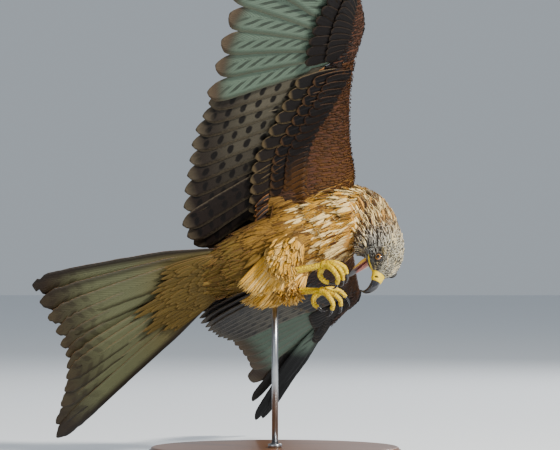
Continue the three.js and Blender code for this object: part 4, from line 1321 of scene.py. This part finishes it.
def tail_root_feathers(root, turn, chance):
    """Belly colours below, rufous above."""
    look = body_feathers(root, turn, chance)
    above = sheet(scatter(np.tile(rgb(140, 76, 32), (len(root), 1)), 0.15, chance),
                  rgb(60, 32, 16), rgb(190, 122, 66), 0, 0, 0, 0)
    upper = smooth(-1, 5, (root - TAIL_ROOT) @ TAIL_NORMAL)[:, None, None]
    look[:, :3] = mix(look[:, :3], above[:, :3], upper)
    return look


tail_coat = Plumage()
cover(tail_coat, tail_form, lambda t: (6, 6), lambda t, turn: (30 + 0 * t, 11 + 0 * t),
      lambda root, along: along, tail_root_feathers, 71, 0.1, 0.8, lift=0.12)

fill_bare([torso_coat, neck_coat, head_coat, *thigh_coats.values()], 77)
tail_coat.build("coat_tail", feather_look, "tail", "plumage_tail")
for (side, kind), lining in linings.items():
    lining.build(f"lining_{side}_{kind}", feather_look, f"wing_{side}_{kind}", WING_SLOTS[kind])
torso_coat.build("coat_torso", feather_look, "torso", "plumage_body")
neck_coat.build("coat_neck", feather_look, "neck", "plumage_neck")
head_coat.build("coat_head", feather_look, "head", "plumage_head")
for side, coat in thigh_coats.items():
    coat.build(f"coat_thigh_{side}", feather_look, f"thigh_{side}", "plumage_thigh")


# Eyes and lids.
def ring_piece(name, centre, axis, radius, thickness, count=40, sides=12):
    """A closed ring about an axis: its last station joins its first."""
    side, other = crosswise(axis)
    cosines, sines = circle(sides)
    grid = []
    for i in range(count):
        angle = 2 * math.pi * i / count
        out = side * math.cos(angle) + other * math.sin(angle)
        grid.append(centre + out * radius + np.outer(cosines, out) * thickness
                    + np.outer(sines, axis) * thickness)
    quads = grid_quads(count + 1, sides) % (count * sides)
    return link(name, quad_mesh(name, np.concatenate(grid), quads))


def eye(name, side):
    """An eyeball with a fleck-rayed iris round its pupil, and a lid ring round it."""
    centre = eye_place(side, 0.4)
    axis = unit(HEAD_SIDE * side + HEAD_FORWARD * 0.22)
    grid = ball_grid(centre, axis, EYE_RADIUS, 40, 48)
    piece = loft(f"eyeball_{name}", grid)
    offset = unit(grid.reshape(-1, 3) - centre)
    tilt = np.arccos(np.clip(offset @ axis, -1, 1))[:, None]
    rays = np.arctan2(offset @ HEAD_UP, offset @ HEAD_FORWARD)[:, None]
    flecks = 0.12 * np.sin(rays * 23) + 0.08 * np.sin(rays * 41 + 1)
    iris = mix(rgb(186, 130, 56), rgb(116, 70, 26), smooth(0.5, 0.8, tilt))
    colours = mix(rgb(8, 7, 8), np.clip(iris * (1 + flecks), 0, 1), smooth(0.46, 0.52, tilt))
    colours = mix(colours, rgb(14, 11, 10), smooth(0.74, 0.84, tilt))
    store_colours(piece.data, "tint", with_alpha(colours))
    finish_piece(piece, eye_look, "eye", f"eye_{name}")
    lids = ring_piece(f"lids_{name}", centre + axis * 3.6, axis, EYE_RADIUS - 0.8, 1.15)
    finish_piece(lids, lid_look, "plumage_head", "head")


eye_look = tinted_material("eye_wet", 0.06, 1.0)
lid_look = rough_material("lid_skin", (rgb(24, 21, 19), rgb(48, 43, 38)), 1400, 0.6, 0.0002)
for name, side in SIDES.items():
    eye(name, side)

# Bill, mouth and tongue.
cere_look = rough_material("cere_skin", (rgb(206, 168, 0), rgb(222, 192, 0)), 700, 0.5, 0.0002,
                           coat=0.05)
horn_look = rough_material("bill_horn", (rgb(16, 16, 19), rgb(44, 44, 50)), 160, 0.22, 0.00015,
                           coat=0.4)
lower_look = tinted_material("bill_lower_horn", 0.35, 0.2)
mouth_look = rough_material("mouth_flesh", (rgb(150, 84, 76), rgb(186, 112, 100)), 600, 0.35,
                            0.0003, coat=0.3)

cere = limb("cere", CERE_KEYS, HEAD_SIDE, 24, 36)
hollows = []
for side in SIDES.values():
    nostril = limb_keys(on_head, (33.5, side * 5, 0.5, 1.3, 3, 3), (34, side * 14, -0.5, 2.2, 4, 4))
    cut(cere, limb("nostril", nostril, HEAD_FORWARD, 6, 16))
    hollow = limb_keys(on_head, (33.5, side * 2.5, 0.5, 1.3, 3.1, 3.1),
                       (33.7, side * 8.2, 0.1, 1.7, 3.5, 3.5))
    hollows.append(limb("hollow", hollow, HEAD_FORWARD, 8, 16))
finish_piece(cere, cere_look, "cere", "bill_cere")
finish_piece(join("nostrils", hollows), horn_look, "bill_horn", "bill_cere")
hook = limb("hook", HOOK_KEYS, HEAD_SIDE, 40, 32)
finish_piece(hook, horn_look, "bill_horn", "bill_hook")

lower_grid = limb_grid(LOWER_BILL_KEYS, HEAD_SIDE, HEAD_SIDE, 40, 28)
lower = loft("lower_bill", lower_grid)
lower_places = lower_grid.reshape(-1, 3) - on_lower_bill(0, 0)
tip_ward = smooth(24, 38, lower_places @ unit(on_lower_bill(9, 0) - on_lower_bill(0, 0)))[:, None]
inner_face = smooth(-2.2, -1.2, lower_places @ unit(on_lower_bill(0, 9) - on_lower_bill(0, 0)))
inner_face = (inner_face * smooth(9, 6.5, np.abs(lower_places @ HEAD_SIDE)))[:, None]
lower_colours = mix(mix(rgb(226, 168, 0), rgb(118, 58, 52), inner_face), rgb(52, 52, 56), tip_ward)
store_colours(lower.data, "tint", with_alpha(lower_colours))
finish_piece(lower, lower_look, "bill_lower", "bill_lower")
tongue = limb("tongue_flesh", TONGUE_KEYS, HEAD_SIDE, 20, 18)
finish_piece(tongue, mouth_look, "mouth_flesh", "tongue")


# The yellow line of the gape along the edges of the open mouth.
def on_face(ahead, side, angle):
    """The face's surface, at an angle to the side from straight below."""
    out = HEAD_SIDE * side * math.sin(angle) - HEAD_UP * math.cos(angle)
    hit = skin_tree.ray_cast(Vector(on_head(ahead, 0, 0) * MM), Vector(out))[0]
    return np.array(hit) / MM


GAPE_LINE = ((0, 57, 1.0), (6, 54, 1.7), (12, 51, 1.9), (18, 45, 2.0), (25, 42, 2.0))
gape_edges = []
for side in SIDES.values():
    gape_keys = [(on_face(ahead, side, angle * DEGREE), radius, radius, radius)
                 for ahead, angle, radius in GAPE_LINE]
    gape_keys.append((on_head(35, side * 6.6, -8), 2.0, 2.0, 2.0))
    gape_edges.append(limb("gape_edge", gape_keys, HEAD_SIDE, 24, 14))
finish_piece(join("gape_edges", gape_edges), cere_look, "cere", "bill_cere")

# Legs: scaled shanks and toes with pads below, then the claws.
ANKLE = {"right": seen(299, 270, -110.5), "left": seen(303, 291, -60)}
KNUCKLE = {"right": seen(324, 265, -120), "left": seen(322, 291, -76)}
TOES = {
    "right": (
        seen_line((327, 263, -122), (336, 266, -134), (342, 273, -136), (343, 280, -130)),
        seen_line((326, 265, -128), (333, 270, -142), (338, 278, -143), (337, 284, -136)),
        seen_line((327, 264, -116), (336, 263, -112), (345, 268, -108), (347, 274, -106)),
        seen_line((322, 268, -118), (320, 275, -116), (324, 281, -118), (329, 283, -120))),
    "left": (
        seen_line((325, 291, -78), (333, 294, -84), (340, 300, -84), (341, 306, -80)),
        seen_line((324, 292, -84), (329, 297, -94), (333, 304, -96), (332, 310, -92)),
        seen_line((325, 290, -72), (333, 289, -66), (341, 292, -62), (346, 297, -60)),
        seen_line((319, 293, -74), (314, 298, -72), (314, 304, -72), (318, 308, -74))),
}
TOE_SIDE = unit([0.2, -0.6, 0.5])
CLAW_LENGTH = 15
PLATE_RISE = 0.5
PLATES = 9


def scaled_limb(name, line, start, end, side, stations=90, count=20):
    """A limb whose profile steps up at each plate and down in each groove."""
    cosines, sines = circle(count)
    grid = []
    for i in range(stations + 1):
        t = i / stations
        step = (t * PLATES) % 1
        plate = PLATE_RISE * (smooth(0, 0.25, step) - smooth(0.8, 1, step))
        size = mix(start, end, t) + plate * (0.6 + 0.4 * np.abs(sines)) - PLATE_RISE / 2
        if i in (0, stations):
            size = size * 0.75
        along = line.tangent(t)
        across = squared(side, along)
        grid.append(line.at(t) + np.outer(cosines * size, across)
                    + np.outer(sines * size, np.cross(across, along)))
    return loft(name, np.array(grid))


def claw(name, places):
    """A claw goes on from its toe and bends on the way the toe bends."""
    end = places[3]
    along = unit(end - places[2])
    inward = squared(along - unit(places[2] - places[1]), along)
    keys = [(end + along * ahead + inward * bend, radius, radius, radius)
            for ahead, bend, radius in ((-0.8, 0, 2.5), (CLAW_LENGTH * 0.45, 1.4, 1.8),
                                        (CLAW_LENGTH * 0.8, 5, 1), (CLAW_LENGTH * 0.9, 8.5, 0.3))]
    return limb(name, keys, inward, 24, 16)


leg_look = rough_material("leg_scales", (rgb(216, 188, 0), rgb(160, 116, 0)), 520, 0.55, 0.0004,
                          scaly=True)
claw_look = rough_material("claw_horn", (rgb(14, 13, 15), rgb(40, 38, 42)), 260, 0.2, 0.0001,
                           coat=0.5)
for side in SIDES:
    shin = Line([mix(ANKLE[side], KNUCKLE[side], share) for share in (-0.15, 0.86)])
    shank = scaled_limb(f"shank_{side}", shin, 5.2, 4.6, FORWARD)
    finish_piece(shank, leg_look, "leg_skin", f"tarsus_{side}")
    parts = [loft("palm", ball_grid(KNUCKLE[side], FORWARD, 6.8, 16, 24))]
    for i, line in enumerate(TOES[side]):
        parts.append(scaled_limb("toe", line, 4.7, 2.9, TOE_SIDE))
        for share in (0.36, 0.66, 0.93):
            inner = unit(np.mean(line.places, axis=0) - line.at(share))
            parts.append(loft("pad", ball_grid(line.at(share) + inner * 1.5, inner, 3.3, 10, 14)))
        nail = claw(f"nail_{side}_{i + 1}", line.places)
        finish_piece(nail, claw_look, "claw_horn", f"claw_{side}_{i + 1}")
    finish_piece(join(f"toes_{side}", parts), leg_look, "leg_skin", f"foot_{side}")

# The stand: a turned wooden base and a steel rod.
BASE_RADIUS = 200
BASE_HEIGHT = 20
ROD_RADIUS = 5
ROD_DEPTH = -34
BASE_PROFILE = [(BASE_RADIUS - inward, height) for inward, height in (
    (1.5, 0), (0, 1.5), (0, 13), (0.8, 15.2), (3.4, 16), (4, 17), (4.6, 19), (7, BASE_HEIGHT))]
COLLAR_PROFILE = [(11, BASE_HEIGHT), (11, 25), (10, 26.5), (ROD_RADIUS, 27.5)]


def turned(name, profile, depth=0, count=128):
    cosines, sines = circle(count)
    return loft(name, np.array([
        np.stack([radius * cosines, depth + radius * sines, np.full(count, height)], axis=-1)
        for radius, height in profile]))


base = turned("display_base", BASE_PROFILE)
base.data.polygons.foreach_set("use_smooth", [len(p.vertices) == 4 for p in base.data.polygons])
wood_look = rough_material("stand_wood", (rgb(92, 58, 34), rgb(124, 82, 50)), 6, 0.38, 0.0002,
                           coat=0.3, stretch=(1.2, 14, 14))
finish_piece(base, wood_look, "stand_wood", "stand_base")
rod_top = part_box("stand_rod")[1][2] / MM
shaft_profile = [(ROD_RADIUS, BASE_HEIGHT - 1), (ROD_RADIUS, rod_top)]
rod = join("display_rod", [turned("part", profile, ROD_DEPTH, 48)
                           for profile in (shaft_profile, COLLAR_PROFILE)])
steel_look = rough_material("stand_steel", (rgb(150, 152, 156), rgb(178, 180, 184)), 40, 0.3,
                            0.00005, metallic=1.0)
finish_piece(rod, steel_look, "stand_steel", "stand_rod")

# Floor, light and camera.
FLOOR_REACH = 14
floor_mesh = bpy.data.meshes.new("floor")
floor_mesh.from_pydata([(x * FLOOR_REACH, y * FLOOR_REACH, 0)
                        for x, y in ((-1, -1), (1, -1), (1, 1), (-1, 1))], [], [(0, 1, 2, 3)])
floor = link("floor", floor_mesh)
floor_look = Look("floor_pale", {"Base Color": (*rgb(226, 230, 234), 1), "Roughness": 0.9})
floor_mesh.materials.append(floor_look.material)

world = bpy.data.worlds.new("studio")
world.use_nodes = True
world.node_tree.nodes["Background"].inputs["Color"].default_value = (*rgb(216, 226, 236), 1)
world.node_tree.nodes["Background"].inputs["Strength"].default_value = 0.52
bpy.context.scene.world = world
LIT_PLACE = Vector((0, 0, 0.4))


def lamp(name, place, power, size, colour):
    light = bpy.data.lights.new(name, "AREA")
    light.energy = power
    light.size = size
    light.color = colour
    holder = link(name, light)
    holder.location = place
    holder.rotation_euler = (LIT_PLACE - Vector(place)).to_track_quat("-Z", "Y").to_euler()


lamp("key", (2.6, -2.4, 2.8), 400, 0.5, (1, 0.96, 0.88))
lamp("fill", (-2.4, -2.8, 0.9), 20, 2.4, (0.92, 0.96, 1))
lamp("back", (1.2, 3.0, 2.2), 60, 1.6, (1, 1, 1))

camera_data = bpy.data.cameras.new("camera")
camera_data.sensor_width = SENSOR
camera_data.lens = SENSOR * VIEW_DISTANCE / (VIEW_WIDTH * VIEW_STEP)
camera_data.clip_end = 60
camera = link("camera", camera_data)
camera.location = (CAMERA_ASIDE * MM, -VIEW_DISTANCE * MM, EYE_LEVEL * MM)
camera.rotation_euler = (math.pi / 2, 0, 0)
bpy.context.scene.camera = camera
